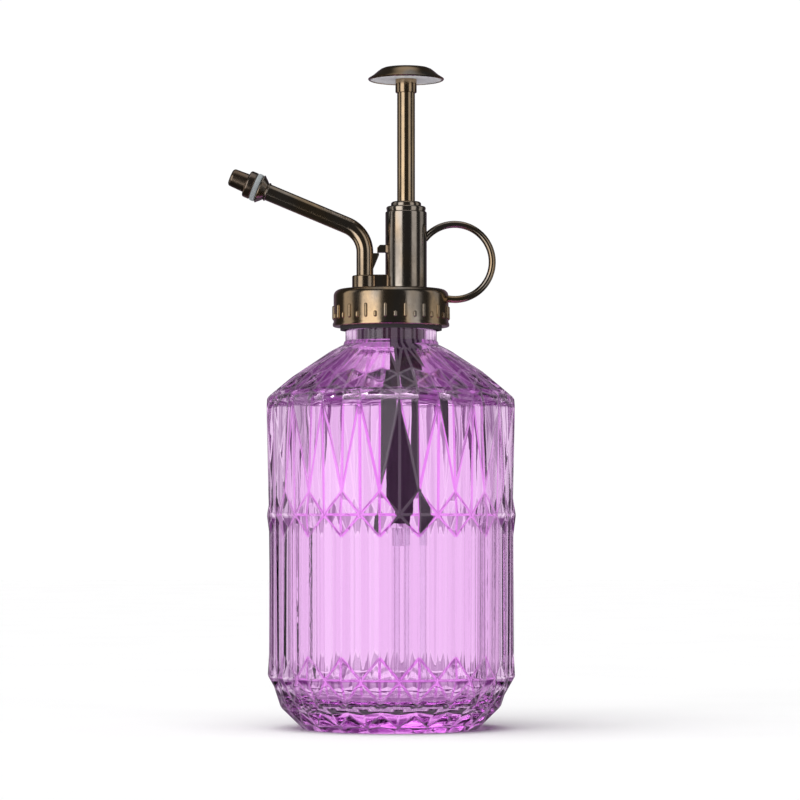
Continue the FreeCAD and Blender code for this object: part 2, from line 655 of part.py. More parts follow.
def make_nozzle(doc, sheet):
    """The nozzle at the spout's end: flared holder, swirl insert, sealing ring and screw-on cap."""
    place = {"x": 0 - sheet.spout_x, "z": sheet.corner_z, "tilt": 90 - sheet.pipe_rise}
    start, end = sheet.pipe_reach, sheet.flare_end
    spigot_r, spigot_end = sheet.pipe_r + 0.25, sheet.cap_flange_end - sheet.spigot_short
    tenon_r, tenon_start = sheet.pipe_bore_r - sheet.running_gap, start - 4
    channel_r = 1.2
    holder = [
        (channel_r, tenon_start),
        (tenon_r, tenon_start),
        (tenon_r, start),
        (sheet.pipe_r + 0.2, start),
        (sheet.flare_r, end - 0.3),
        (sheet.flare_r, end),
        (spigot_r, end),
        (spigot_r, spigot_end),
        (channel_r, spigot_end),
    ]
    seal_inner = spigot_r + sheet.easy_gap
    seal = [
        (seal_inner, end),
        (sheet.flare_r - 0.25, end),
        (sheet.flare_r, end + 0.5),
        (sheet.flare_r, sheet.cap_start - 0.5),
        (sheet.flare_r - 0.25, sheet.cap_start),
        (seal_inner, sheet.cap_start),
    ]
    flange_r = sheet.flare_r - 0.25
    chamber_r, chamber_start = 2.0, sheet.cap_flange_end - 0.4
    chamber_end = sheet.tip_end - 1.2
    cap = [
        (seal_inner, sheet.cap_start),
        (flange_r, sheet.cap_start),
        (flange_r, sheet.cap_flange_end - 0.6),
        (flange_r - 0.6, sheet.cap_flange_end),
        (3.0, sheet.cap_flange_end),
        (2.8, sheet.tip_end - 1),
        (1.8, sheet.tip_end),
        (sheet.orifice_r, sheet.tip_end),
        (sheet.orifice_r, chamber_end),
        (chamber_r, chamber_end),
        (chamber_r, chamber_start),
        (seal_inner, chamber_start),
    ]
    swirl = new_body(doc, "swirl_insert", **place)
    swirl_end, stem_r, head_r = sheet.tip_end - sheet.swirl_inset, channel_r - 0.05, 1.6
    swirl_outline = [
        (0, start + 1),
        (stem_r, start + 1),
        (stem_r, spigot_end),
        (head_r, spigot_end),
        (head_r, swirl_end),
        (0, swirl_end),
    ]
    turn(swirl, swirl_outline)
    doc.recompute()
    groove = attach(swirl, "SwirlGroove", "XY_Plane", swirl_end)
    side, groove_length, groove_count = 0.3, 3.4, 3
    draw_outline(groove, box_outline(head_r - 0.6, -side, head_r + 0.4, side))
    repeat_round(swirl, extrude(swirl, groove, groove_length, cut=True), groove_count)
    return [
        turned_piece(doc, "nozzle_holder", holder, **place),
        turned_piece(doc, "nozzle_seal", seal, **place),
        turned_piece(doc, "nozzle_cap", cap, **place),
        swirl,
    ]


# ---------------------------------------------------------------- pump inside the bottle


def make_valve_body(doc, sheet):
    """The foot of the pump: inlet valve seat, ball chamber and the dip tube's socket."""
    body = new_body(doc, "valve_body", x=sheet.pump_x)
    bottom = sheet.jacket_z
    lip_z, socket_z = bottom - sheet.valve_lip, bottom - 7
    seat_z, chamber_top = bottom + sheet.inlet_seat_rise, bottom + 5.4
    chamber_r, seat_slope = sheet.ball_r + 0.4, 0.6
    jacket_fit_r = sheet.jacket_bore_r - sheet.running_gap
    cylinder_fit_r = sheet.cylinder_bore_r - sheet.running_gap
    outlet_r, socket_r = 1.1, 3.4
    outline = [
        (sheet.tube_r, socket_z),
        (socket_r, socket_z),
        (socket_r + 0.2, lip_z),
        (sheet.jacket_r, lip_z),
        (sheet.jacket_r, bottom),
        (jacket_fit_r, bottom),
        (jacket_fit_r, sheet.cylinder_z),
        (cylinder_fit_r, sheet.cylinder_z),
        (cylinder_fit_r, sheet.spring_z),
        (outlet_r, sheet.spring_z),
        (outlet_r, chamber_top),
        (chamber_r, chamber_top),
        (chamber_r, seat_z + seat_slope),
        (sheet.inlet_seat_r, seat_z),
        (sheet.inlet_seat_r, lip_z),
        (sheet.tube_r, lip_z),
    ]
    turn(body, outline)
    return body


def make_pump_cylinder(doc, sheet):
    """The pump cylinder, with two ports at its foot into the space inside the jacket."""
    body = new_body(doc, "pump_cylinder", x=sheet.pump_x)
    low, high = sheet.cylinder_z, sheet.cylinder_top_z
    turn(body, box_outline(sheet.cylinder_bore_r, low, sheet.cylinder_r, high))
    doc.recompute()
    ports = attach(body, "PortOutline", "XZ_Plane")
    port_rise, port_r = 1.5, 0.9
    draw_circle(ports, (0, sheet.spring_z + port_rise), port_r)
    extrude(body, ports, sheet.cylinder_r * 2 + 2, cut=True, both_sides=True)
    return body


def make_valve_balls(doc, sheet):
    """The two balls that make the pump's inlet and outlet valves."""
    inlet_seat = sheet.jacket_z + sheet.inlet_seat_rise + 0.2
    outlet_seat = sheet.duct_z + sheet.outlet_seat_rise
    choices = (
        ("inlet_ball", sheet.pump_x, sheet.ball_r, sheet.inlet_seat_r, inlet_seat),
        ("outlet_ball", 0 - sheet.spout_x, sheet.outlet_ball_r, sheet.outlet_seat_r, outlet_seat),
    )
    balls = []
    for label, x, radius, seat_r, seat_z in choices:
        ball = doc.addObject("Part::Sphere", f"{label}_sphere")
        ball.Label = label
        rise = math.sqrt(radius.value**2 - seat_r.value**2) + sheet.running_gap
        bind(ball, "Radius", radius)
        bind(ball, "Placement.Base.x", x)
        bind(ball, "Placement.Base.z", seat_z + rise)
        balls.append(ball)
    return balls


def make_return_spring(doc, sheet):
    """The coil spring that lifts the plunger."""
    helix = doc.addObject("Part::Helix", "spring_helix")
    inset = sheet.spring_wire_r + 0.05
    height = sheet.piston_z - sheet.spring_z - inset * 2
    bind(helix, "Pitch", height / sheet.spring_turns)
    bind(helix, "Height", height)
    bind(helix, "Radius", sheet.spring_r)
    wire = doc.addObject("Part::Circle", "spring_section")
    bind(wire, "Radius", sheet.spring_wire_r)
    wire.Placement = Placement(Vector(sheet.spring_r.value, 0, 0), Rotation(Vector(1, 0, 0), 90))
    doc.recompute()
    spring = doc.addObject("Part::Sweep", "return_spring_sweep")
    spring.Label = "return_spring"
    spring.Sections = [wire]
    spring.Spine = (helix, ["Edge1"])
    spring.Solid = True
    spring.Frenet = True
    bind(spring, "Placement.Base.x", sheet.pump_x)
    bind(spring, "Placement.Base.z", sheet.spring_z + inset)
    return spring


# ---------------------------------------------------------------- plunger


def make_plunger(doc, sheet):
    """The parts that the thumb pushes down: button, backing disc, rod, stop ring, piston and seal."""
    x = sheet.pump_x
    tenon_r, tenon_z = 1.5, sheet.piston_top_z - sheet.tenon
    peg_r, peg_z = 2.2, sheet.rod_top_z + sheet.tenon
    rod = [
        (0, tenon_z),
        (tenon_r, tenon_z),
        (tenon_r, sheet.piston_top_z),
        (sheet.rod_r, sheet.piston_top_z),
        (sheet.rod_r, sheet.rod_top_z),
        (peg_r, sheet.rod_top_z),
        (peg_r, peg_z),
        (0, peg_z),
    ]
    seal_low, seal_high = sheet.piston_z + 2.5, sheet.piston_z + 5
    groove_r = sheet.piston_r - 0.6
    piston = [
        (0, sheet.piston_z),
        (sheet.piston_r, sheet.piston_z),
        (sheet.piston_r, seal_low),
        (groove_r, seal_low),
        (groove_r, seal_high),
        (sheet.piston_r, seal_high),
        (sheet.piston_r, sheet.piston_top_z),
        (tenon_r, sheet.piston_top_z),
        (tenon_r, tenon_z),
        (0, tenon_z),
    ]
    boss_r = sheet.rod_r + 0.55
    rim_z, recess_r = sheet.button_rim_z, sheet.button_r - 1.1
    under_z = rim_z - 1.0
    side_bend = 4.2
    crown_r, crown_rise = sheet.button_r - 3.6, 0.6
    crown_bend = (crown_r * crown_r + crown_rise**2) / (crown_rise * 2)
    button = [
        (peg_r, sheet.rod_top_z),
        (boss_r, sheet.rod_top_z),
        (boss_r, rim_z),
        (recess_r, rim_z),
        (recess_r, under_z),
        (sheet.button_r - 0.5, under_z),
        (sheet.button_r, rim_z),
        (crown_r, sheet.button_z - crown_rise),
        (0, sheet.button_z),
        (0, peg_z),
        (peg_r, peg_z),
    ]
    backing = box_outline(boss_r, under_z + 0.15, recess_r - sheet.running_gap, rim_z)
    seal_r = sheet.cylinder_bore_r - sheet.running_gap
    stop_top, stop_height = sheet.cylinder_top_z - 0.1, 2.4
    stop_r = sheet.cylinder_bore_r - 0.2
    return [
        turned_piece(doc, "plunger_rod", rod, x=x),
        turned_piece(doc, "piston", piston, x=x),
        turned_piece(doc, "button", button, {6: side_bend, 7: crown_bend}, x=x),
        turned_piece(doc, "button_backing", backing, x=x),
        tube(doc, "piston_seal", x, groove_r, seal_r, seal_low, seal_high),
        tube(doc, "rod_stop", x, sheet.rod_r, stop_r, stop_top - stop_height, stop_top),
    ]


# ---------------------------------------------------------------- the whole mister


def make_mister(doc):
    """Every piece of the mister, each with its own label."""
    sheet = Sheet(doc)
    spout_x, pump_x = 0 - sheet.spout_x, sheet.pump_x
    oring_r, oring_low, oring_high = sheet.socket_r - 0.65, sheet.socket_z - 1.15, sheet.socket_z - 0.05
    jacket_low, jacket_high = sheet.jacket_z, sheet.jacket_top_z
    tube_top = sheet.jacket_z - sheet.valve_lip
    pieces = [
        make_bottle(doc, sheet),
        make_gasket(doc, sheet),
        make_collar(doc, sheet),
        make_thread_liner(doc, sheet),
        make_pump_body(doc, sheet),
        make_finger_ring(doc, sheet),
        make_spout_pipe(doc, sheet),
        make_valve_body(doc, sheet),
        make_pump_cylinder(doc, sheet),
        make_return_spring(doc, sheet),
        tube(doc, "spout_oring", spout_x, sheet.pipe_r, oring_r, oring_low, oring_high),
        tube(doc, "pump_jacket", pump_x, sheet.jacket_bore_r, sheet.jacket_r, jacket_low, jacket_high),
        tube(doc, "dip_tube", pump_x, sheet.tube_bore_r, sheet.tube_r, sheet.tube_z, tube_top),
    ]
    pieces += make_gland(doc, sheet)
    pieces += make_nozzle(doc, sheet)
    pieces += make_valve_balls(doc, sheet)
    pieces += make_plunger(doc, sheet)
    return pieces


def check(doc, pieces):
    """Stops on any failed feature, or any piece whose shape is null, invalid or not solid."""
    failed = [o.Label for o in doc.Objects if {"Invalid", "Error"} & set(o.State)]
    if failed:
        raise RuntimeError(f"features failed: {failed}")
    for piece in pieces:
        shape = piece.Shape
        if shape.isNull() or not shape.isValid() or len(shape.Solids) != 1:
            raise RuntimeError(f"{piece.Label} is not one valid solid")


def main():
    """Builds the document, checks it and writes one STEP file for each piece."""
    doc = FreeCAD.newDocument("hand_mister")
    pieces = make_mister(doc)
    doc.recompute()
    check(doc, pieces)
    os.makedirs("parts", exist_ok=True)
    for piece in pieces:
        piece.Shape.exportStep(f"parts/{piece.Label}.step")
        box = piece.Shape.BoundBox
        print(f"{piece.Label:15s} {piece.Shape.Volume / 1000:8.3f} cm3"
              f"  x {box.XMin:7.2f} {box.XMax:7.2f}  z {box.ZMin:7.2f} {box.ZMax:7.2f}")


main()
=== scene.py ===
import json
import logging
import math
from dataclasses import dataclass
from enum import Enum

import bmesh
import bpy
from mathutils import Matrix, Vector, noise

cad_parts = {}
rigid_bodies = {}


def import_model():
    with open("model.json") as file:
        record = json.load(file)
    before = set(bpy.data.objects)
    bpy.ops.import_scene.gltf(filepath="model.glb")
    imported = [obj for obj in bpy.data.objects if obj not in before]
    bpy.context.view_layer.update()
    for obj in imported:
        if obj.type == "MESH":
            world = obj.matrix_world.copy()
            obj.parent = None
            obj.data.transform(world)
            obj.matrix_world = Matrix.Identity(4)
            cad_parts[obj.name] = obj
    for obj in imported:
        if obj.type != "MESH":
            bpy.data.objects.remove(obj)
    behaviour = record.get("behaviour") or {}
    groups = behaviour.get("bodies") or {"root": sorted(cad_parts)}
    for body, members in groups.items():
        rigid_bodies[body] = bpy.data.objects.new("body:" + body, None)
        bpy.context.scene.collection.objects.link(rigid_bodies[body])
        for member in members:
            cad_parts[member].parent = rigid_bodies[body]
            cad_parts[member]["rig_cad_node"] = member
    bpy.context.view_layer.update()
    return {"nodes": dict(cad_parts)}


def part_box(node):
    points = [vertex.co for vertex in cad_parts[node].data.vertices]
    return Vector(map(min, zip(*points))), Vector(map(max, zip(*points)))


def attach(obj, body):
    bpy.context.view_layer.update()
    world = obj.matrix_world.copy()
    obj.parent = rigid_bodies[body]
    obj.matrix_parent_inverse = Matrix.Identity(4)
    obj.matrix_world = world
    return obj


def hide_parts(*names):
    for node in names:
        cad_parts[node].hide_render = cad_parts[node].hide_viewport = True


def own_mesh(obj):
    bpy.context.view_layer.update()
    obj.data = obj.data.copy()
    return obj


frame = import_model()

MM = 0.001
log = logging.getLogger("mister")


# ================================================================ shader building


class Signal:
    """A socket's value that can be used in sums, as if it were a number."""

    def __init__(self, desk: "Desk", socket: bpy.types.NodeSocket) -> None:
        """Wraps a socket.

        Args:
            desk: the node tree's desk, which adds the math nodes.
            socket: the output socket that carries the value.
        """
        self.desk = desk
        self.socket = socket

    def _math(self, operation: str, *values: object) -> "Signal":
        """One Math node on this value and others.

        Args:
            operation: the Math node's operation.
            values: numbers or signals, in the order of its inputs.

        Returns:
            The node's result.
        """
        inputs = dict(enumerate(values))
        return self.desk.add("ShaderNodeMath", {"operation": operation}, inputs)

    def __add__(self, other: object) -> "Signal":
        """This plus other."""
        return self._math("ADD", self, other)

    def __sub__(self, other: object) -> "Signal":
        """This minus other."""
        return self._math("SUBTRACT", self, other)

    def __rsub__(self, other: object) -> "Signal":
        """Other minus this."""
        return self._math("SUBTRACT", other, self)

    def __mul__(self, other: object) -> "Signal":
        """This times other."""
        return self._math("MULTIPLY", self, other)

    __radd__ = __add__
    __rmul__ = __mul__

    def __abs__(self) -> "Signal":
        """This without its sign."""
        return self._math("ABSOLUTE", self)

    def cosine(self) -> "Signal":
        """The cosine of this, in radians."""
        return self._math("COSINE", self)

    def bearing(self, other: object) -> "Signal":
        """The angle, in degrees, of the direction whose sides are this and other."""
        return self._math("ARCTAN2", self, other) * (180 / math.pi)

    def stretched(self, low: float, high: float, to_low: float = 0.0, to_high: float = 1.0) -> "Signal":
        """Maps one range to another with soft ends.

        Args:
            low: the value that becomes to_low.
            high: the value that becomes to_high.
            to_low: result at low.
            to_high: result at high.

        Returns:
            The mapped value, held inside its range.
        """
        settings = {"interpolation_type": "SMOOTHSTEP"}
        inputs = {0: self, 1: low, 2: high, 3: to_low, 4: to_high}
        return self.desk.add("ShaderNodeMapRange", settings, inputs)


class Desk:
    """Adds nodes to one node tree."""

    def __init__(self, tree: bpy.types.NodeTree) -> None:
        """Clears the tree for new nodes.

        Args:
            tree: a material's or world's node tree.
        """
        self.tree = tree
        tree.nodes.clear()

    def node(self, kind: str, settings: dict | None = None, inputs: dict | None = None) -> bpy.types.Node:
        """Adds any node.

        Args:
            kind: the node's type name.
            settings: its properties, set before its inputs.
            inputs: values, signals or sockets by input name or number.

        Returns:
            The new node.
        """
        made = self.tree.nodes.new(kind)
        for name, value in (settings or {}).items():
            setattr(made, name, value)
        for key, value in (inputs or {}).items():
            source = value.socket if isinstance(value, Signal) else value
            if isinstance(source, bpy.types.NodeSocket):
                self.tree.links.new(source, made.inputs[key])
            else:
                made.inputs[key].default_value = source
        return made

    def add(
        self, kind: str, settings: dict | None = None, inputs: dict | None = None, output: object = 0
    ) -> Signal:
        """Adds a node and returns one of its outputs.

        Args:
            kind: the node's type name.
            settings: as in node.
            inputs: as in node.
            output: the output's name or number.

        Returns:
            That output as a signal.
        """
        return Signal(self, self.node(kind, settings, inputs).outputs[output])

    def mix(self, share: object, first: object, second: object) -> Signal:
        """Blends two colours.

        Args:
            share: how much of the second, a number or signal.
            first: colour or signal at 0.
            second: colour or signal at 1.

        Returns:
            The blended colour.
        """
        colours = {6: self._colour(first), 7: self._colour(second), 0: share}
        return self.add("ShaderNodeMix", {"data_type": "RGBA"}, colours, 2)

    @staticmethod
    def _colour(value: object) -> object:
        """A colour with its alpha, or a signal as it is."""
        return value if isinstance(value, Signal) else (*value, 1.0)

    def place(self) -> Signal:
        """The point on the object, in metres."""
        return self.add("ShaderNodeTexCoord", output="Object")

    def grain(
        self, size_mm: float, detail: float = 3.0, stretch: tuple = (1, 1, 1), roughness: float = 0.5
    ) -> Signal:
        """Soft noise of a given size.

        Args:
            size_mm: size of the noise's spots.
            detail: octaves of finer noise.
            stretch: scale along each axis, below 1 lengthens the spots.
            roughness: how strong the finer octaves are.

        Returns:
            A value around 0.5.
        """
        mapped = self.add("ShaderNodeMapping", {}, {"Vector": self.place(), "Scale": stretch})
        inputs = {"Vector": mapped, "Scale": 1 / (size_mm * MM), "Detail": detail, "Roughness": roughness}
        return self.add("ShaderNodeTexNoise", {}, inputs)

    def bump(self, height: object, depth_mm: float, strength: float = 1.0) -> Signal:
        """A bump that tilts the surface's normal.

        Args:
            height: a signal from 0 to 1.
            depth_mm: what 1 stands for.
            strength: share of the effect.

        Returns:
            The new normal.
        """
        inputs = {"Strength": strength, "Distance": depth_mm * MM, "Height": height}
        return self.add("ShaderNodeBump", {}, inputs)


@dataclass(frozen=True)
class Finish:
    """What every finish has: a name, and the record's slot it stands for."""

    name: str
    slot: str

    def material(self) -> bpy.types.Material:
        """The finish's material, made once.

        Returns:
            The material.
        """
        found = bpy.data.materials.get(self.name)
        if found is None:
            found = bpy.data.materials.new(self.name)
            found.use_nodes = True
            desk = Desk(found.node_tree)
            output = desk.node("ShaderNodeOutputMaterial")
            self.paint(desk, output)
        return found

    def paint(self, desk: Desk, output: bpy.types.Node) -> None:
        """Builds the finish's nodes, which end at the output."""
        raise NotImplementedError


@dataclass(frozen=True)
class PressedGlass(Finish):
    """Clear coloured glass with the faint ripple of a pressing, and where set a faint emission: a painted
    glow that real glass doesn't have.
    """

    skin: tuple = (0.96, 0.755, 0.975)
    absorbs: tuple = (0.92, 0.18, 0.96)
    density: float = 18.0
    index: float = 1.5
    frost: float = 0.0
    # The emission strength and colour below paint a faint glow on the glass; real glass gives no light of
    # its own.
    painted_glow: float = 0.0
    painted_glow_colour: tuple = (1.0, 0.80, 1.0)
    unevenness: float = 0.03

    def paint(self, desk: Desk, output: bpy.types.Node) -> None:
        """Glass with an even tint inside, a slightly uneven skin and, where set, a faint emission that
        paints a glow.

        Args:
            desk: where the nodes go.
            output: the material's output.
        """
        ripple = desk.grain(8.0, 1.0, (1, 1, 0.6))
        fine = desk.grain(1.8, 1.0, (1, 1, 0.6))
        skin = desk.bump(ripple * 0.8 + fine * 0.2, 0.03)
        haze = desk.grain(16.0, 2.0).stretched(0.45, 0.75, self.frost, self.frost + self.unevenness)
        glass = desk.node("ShaderNodeBsdfPrincipled", {}, {
            "Base Color": (*self.skin, 1.0), "Roughness": haze, "IOR": self.index,
            "Transmission Weight": 1.0, "Normal": skin,
            # Painted glow: an emission that stands in for light, though the glass is no lamp.
            "Emission Color": (*self.painted_glow_colour, 1.0), "Emission Strength": self.painted_glow,
        })
        tint = {"Color": (*self.absorbs, 1.0), "Density": self.density}
        volume = desk.add("ShaderNodeVolumeAbsorption", {}, tint)
        desk.tree.links.new(glass.outputs[0], output.inputs["Surface"])
        desk.tree.links.new(volume.socket, output.inputs["Volume"])


@dataclass(frozen=True)
class AgedPlating(Finish):
    """Shiny bronze plating, browned in clouds and finely brushed."""

    bright: tuple = (0.56, 0.395, 0.235)
    brown: tuple = (0.19, 0.16, 0.13)
    rubbed: tuple = (0.60, 0.47, 0.31)
    polish: float = 0.10
    browning: float = 0.55
    edge_wear: float = 0.25
    # Below sunk_z the colour can be pulled to a near-black by the share in hidden: painted shade on the
    # metal inside the glass neck, not a colour of its own.
    sunk_z: float = 0.134
    painted_neck_shade: tuple = (0.035, 0.03, 0.032)
    hidden: float = 0.0

    def paint(self, desk: Desk, output: bpy.types.Node) -> None:
        """Bright metal under patches of brown patina, worn bright on its edges, with painted shade below a
        height where that is set.

        Args:
            desk: where the nodes go.
            output: the material's output.
        """
        clouds = desk.grain(6.0, 4.0, (1, 1, 0.5), 0.6)
        specks = desk.grain(0.9, 2.0)
        patina = clouds.stretched(0.38, 0.68) * self.browning + specks.stretched(0.55, 0.8) * 0.15
        edge = desk.add("ShaderNodeNewGeometry", output="Pointiness").stretched(0.52, 0.60)
        cool = tuple(0.35 * c + 0.65 * sum(self.bright) / 3 for c in self.bright)
        fresh = desk.mix(desk.grain(11.0, 2.0, (1, 1, 0.4)).stretched(0.42, 0.6), self.bright, cool)
        colour = desk.mix(patina, fresh, self.brown)
        colour = desk.mix(edge * self.edge_wear, colour, self.rubbed)
        # Painted shade: below sunk_z, the plating inside the glass neck is darkened nearly to black.
        if self.hidden:
            height = desk.add("ShaderNodeSeparateXYZ", {}, {0: desk.place()}, "Z")
            neck_shade_mask = height.stretched(self.sunk_z, self.sunk_z - 0.001)
            colour = desk.mix(neck_shade_mask * self.hidden, colour, self.painted_neck_shade)
        brushed = desk.grain(0.35, 2.0, (1, 1, 0.12))
        roughness = patina * 0.14 + brushed * 0.04 + self.polish
        skin = desk.bump(brushed * 0.25 + specks * 0.75, 0.008)
        metal = desk.node("ShaderNodeBsdfPrincipled", {}, {
            "Base Color": colour, "Metallic": 1.0, "Roughness": roughness, "Normal": skin,
        })
        desk.tree.links.new(metal.outputs[0], output.inputs["Surface"])


@dataclass(frozen=True)
class Moulded(Finish):
    """Moulded plastic or rubber with a faint texture and uneven gloss."""

    colour: tuple = (0.05, 0.05, 0.05)
    lighter: tuple = (0.09, 0.085, 0.09)
    gloss: float = 0.4
    grain_mm: float = 0.5
    clearness: float = 0.0
    index: float = 1.46

    def paint(self, desk: Desk, output: bpy.types.Node) -> None:
        """Two close shades, fine grain and faint handling marks.

        Args:
            desk: where the nodes go.
            output: the material's output.
        """
        clouds = desk.grain(8.0, 3.0)
        fine = desk.grain(self.grain_mm, 2.0)
        colour = desk.mix(clouds.stretched(0.3, 0.7), self.colour, self.lighter)
        roughness = clouds * 0.12 + fine * 0.06 + (self.gloss - 0.09)
        plastic = desk.node("ShaderNodeBsdfPrincipled", {}, {
            "Base Color": colour, "Roughness": roughness, "Normal": desk.bump(fine, 0.01),
            "Transmission Weight": self.clearness, "IOR": self.index,
        })
        desk.tree.links.new(plastic.outputs[0], output.inputs["Surface"])


@dataclass(frozen=True)
class DrawnSteel(Finish):
    """Bare spring wire or a polished ball."""

    colour: tuple = (0.62, 0.62, 0.63)
    polish: float = 0.2

    def paint(self, desk: Desk, output: bpy.types.Node) -> None:
        """Grey metal with fine drawing lines.

        Args:
            desk: where the nodes go.
            output: the material's output.
        """
        lines = desk.grain(0.2, 2.0)
        shade = desk.mix(lines, self.colour, tuple(c * 0.8 for c in self.colour))
        metal = desk.node("ShaderNodeBsdfPrincipled", {}, {
            "Base Color": shade, "Metallic": 1.0, "Roughness": lines * 0.1 + self.polish,
        })
        desk.tree.links.new(metal.outputs[0], output.inputs["Surface"])


class Look(Enum):
    """Every finish on the mister."""

    GLASS = PressedGlass("purple_pressed_glass", "purple_glass")
    # The ridges' roundings: a paler tint and a faint emission, painted highlights that make pale lines
    # along the ridges.
    RIDGE = PressedGlass(
        "purple_glass_ridges_painted_glow", "purple_glass", skin=(0.99, 0.88, 0.99), frost=0.08, painted_glow=0.07
    )
    BRONZE = AgedPlating("antique_bronze", "bronze_plating")
    # The plated moulding, with painted shade on its plug inside the glass neck.
    SUNK = AgedPlating("bronze_painted_shade_in_the_neck", "bronze_plating", hidden=0.9)
    NOZZLE = AgedPlating(
        "browned_bronze", "bronze_plating", bright=(0.36, 0.24, 0.16), browning=0.7, polish=0.2
    )
    DARK = Moulded("dark_plastic", "dark_plastic", (0.022, 0.018, 0.022), (0.04, 0.034, 0.038), 0.32)
    CLEAR = Moulded(
        "clear_tube", "clear_plastic", (0.93, 0.93, 0.94), (0.97, 0.97, 0.98), 0.12,
        clearness=1.0, index=1.12,
    )
    PALE = Moulded("pale_backing", "pale_plastic", (0.56, 0.56, 0.57), (0.66, 0.66, 0.67), 0.35)
    SEAL = Moulded("seal_rubber", "seal_rubber", (0.02, 0.02, 0.02), (0.035, 0.035, 0.035), 0.6, 0.3)
    GREY = Moulded("grey_rubber", "grey_rubber", (0.06, 0.064, 0.068), (0.1, 0.105, 0.11), 0.5, 0.3)
    SPRING = DrawnSteel("spring_wire", "spring_steel")
    BALL = DrawnSteel("polished_ball", "steel_ball", (0.8, 0.8, 0.8), 0.05)

    def dress(self, piece: bpy.types.Object) -> None:
        """Gives a new piece or a CAD node this finish, unless it already has it on some faces.

        Args:
            piece: a mesh object.
        """
        material = self.value.material()
        if material.name not in piece.data.materials:
            piece.data.materials.clear()
            piece.data.materials.append(material)


# ================================================================ modelling moves


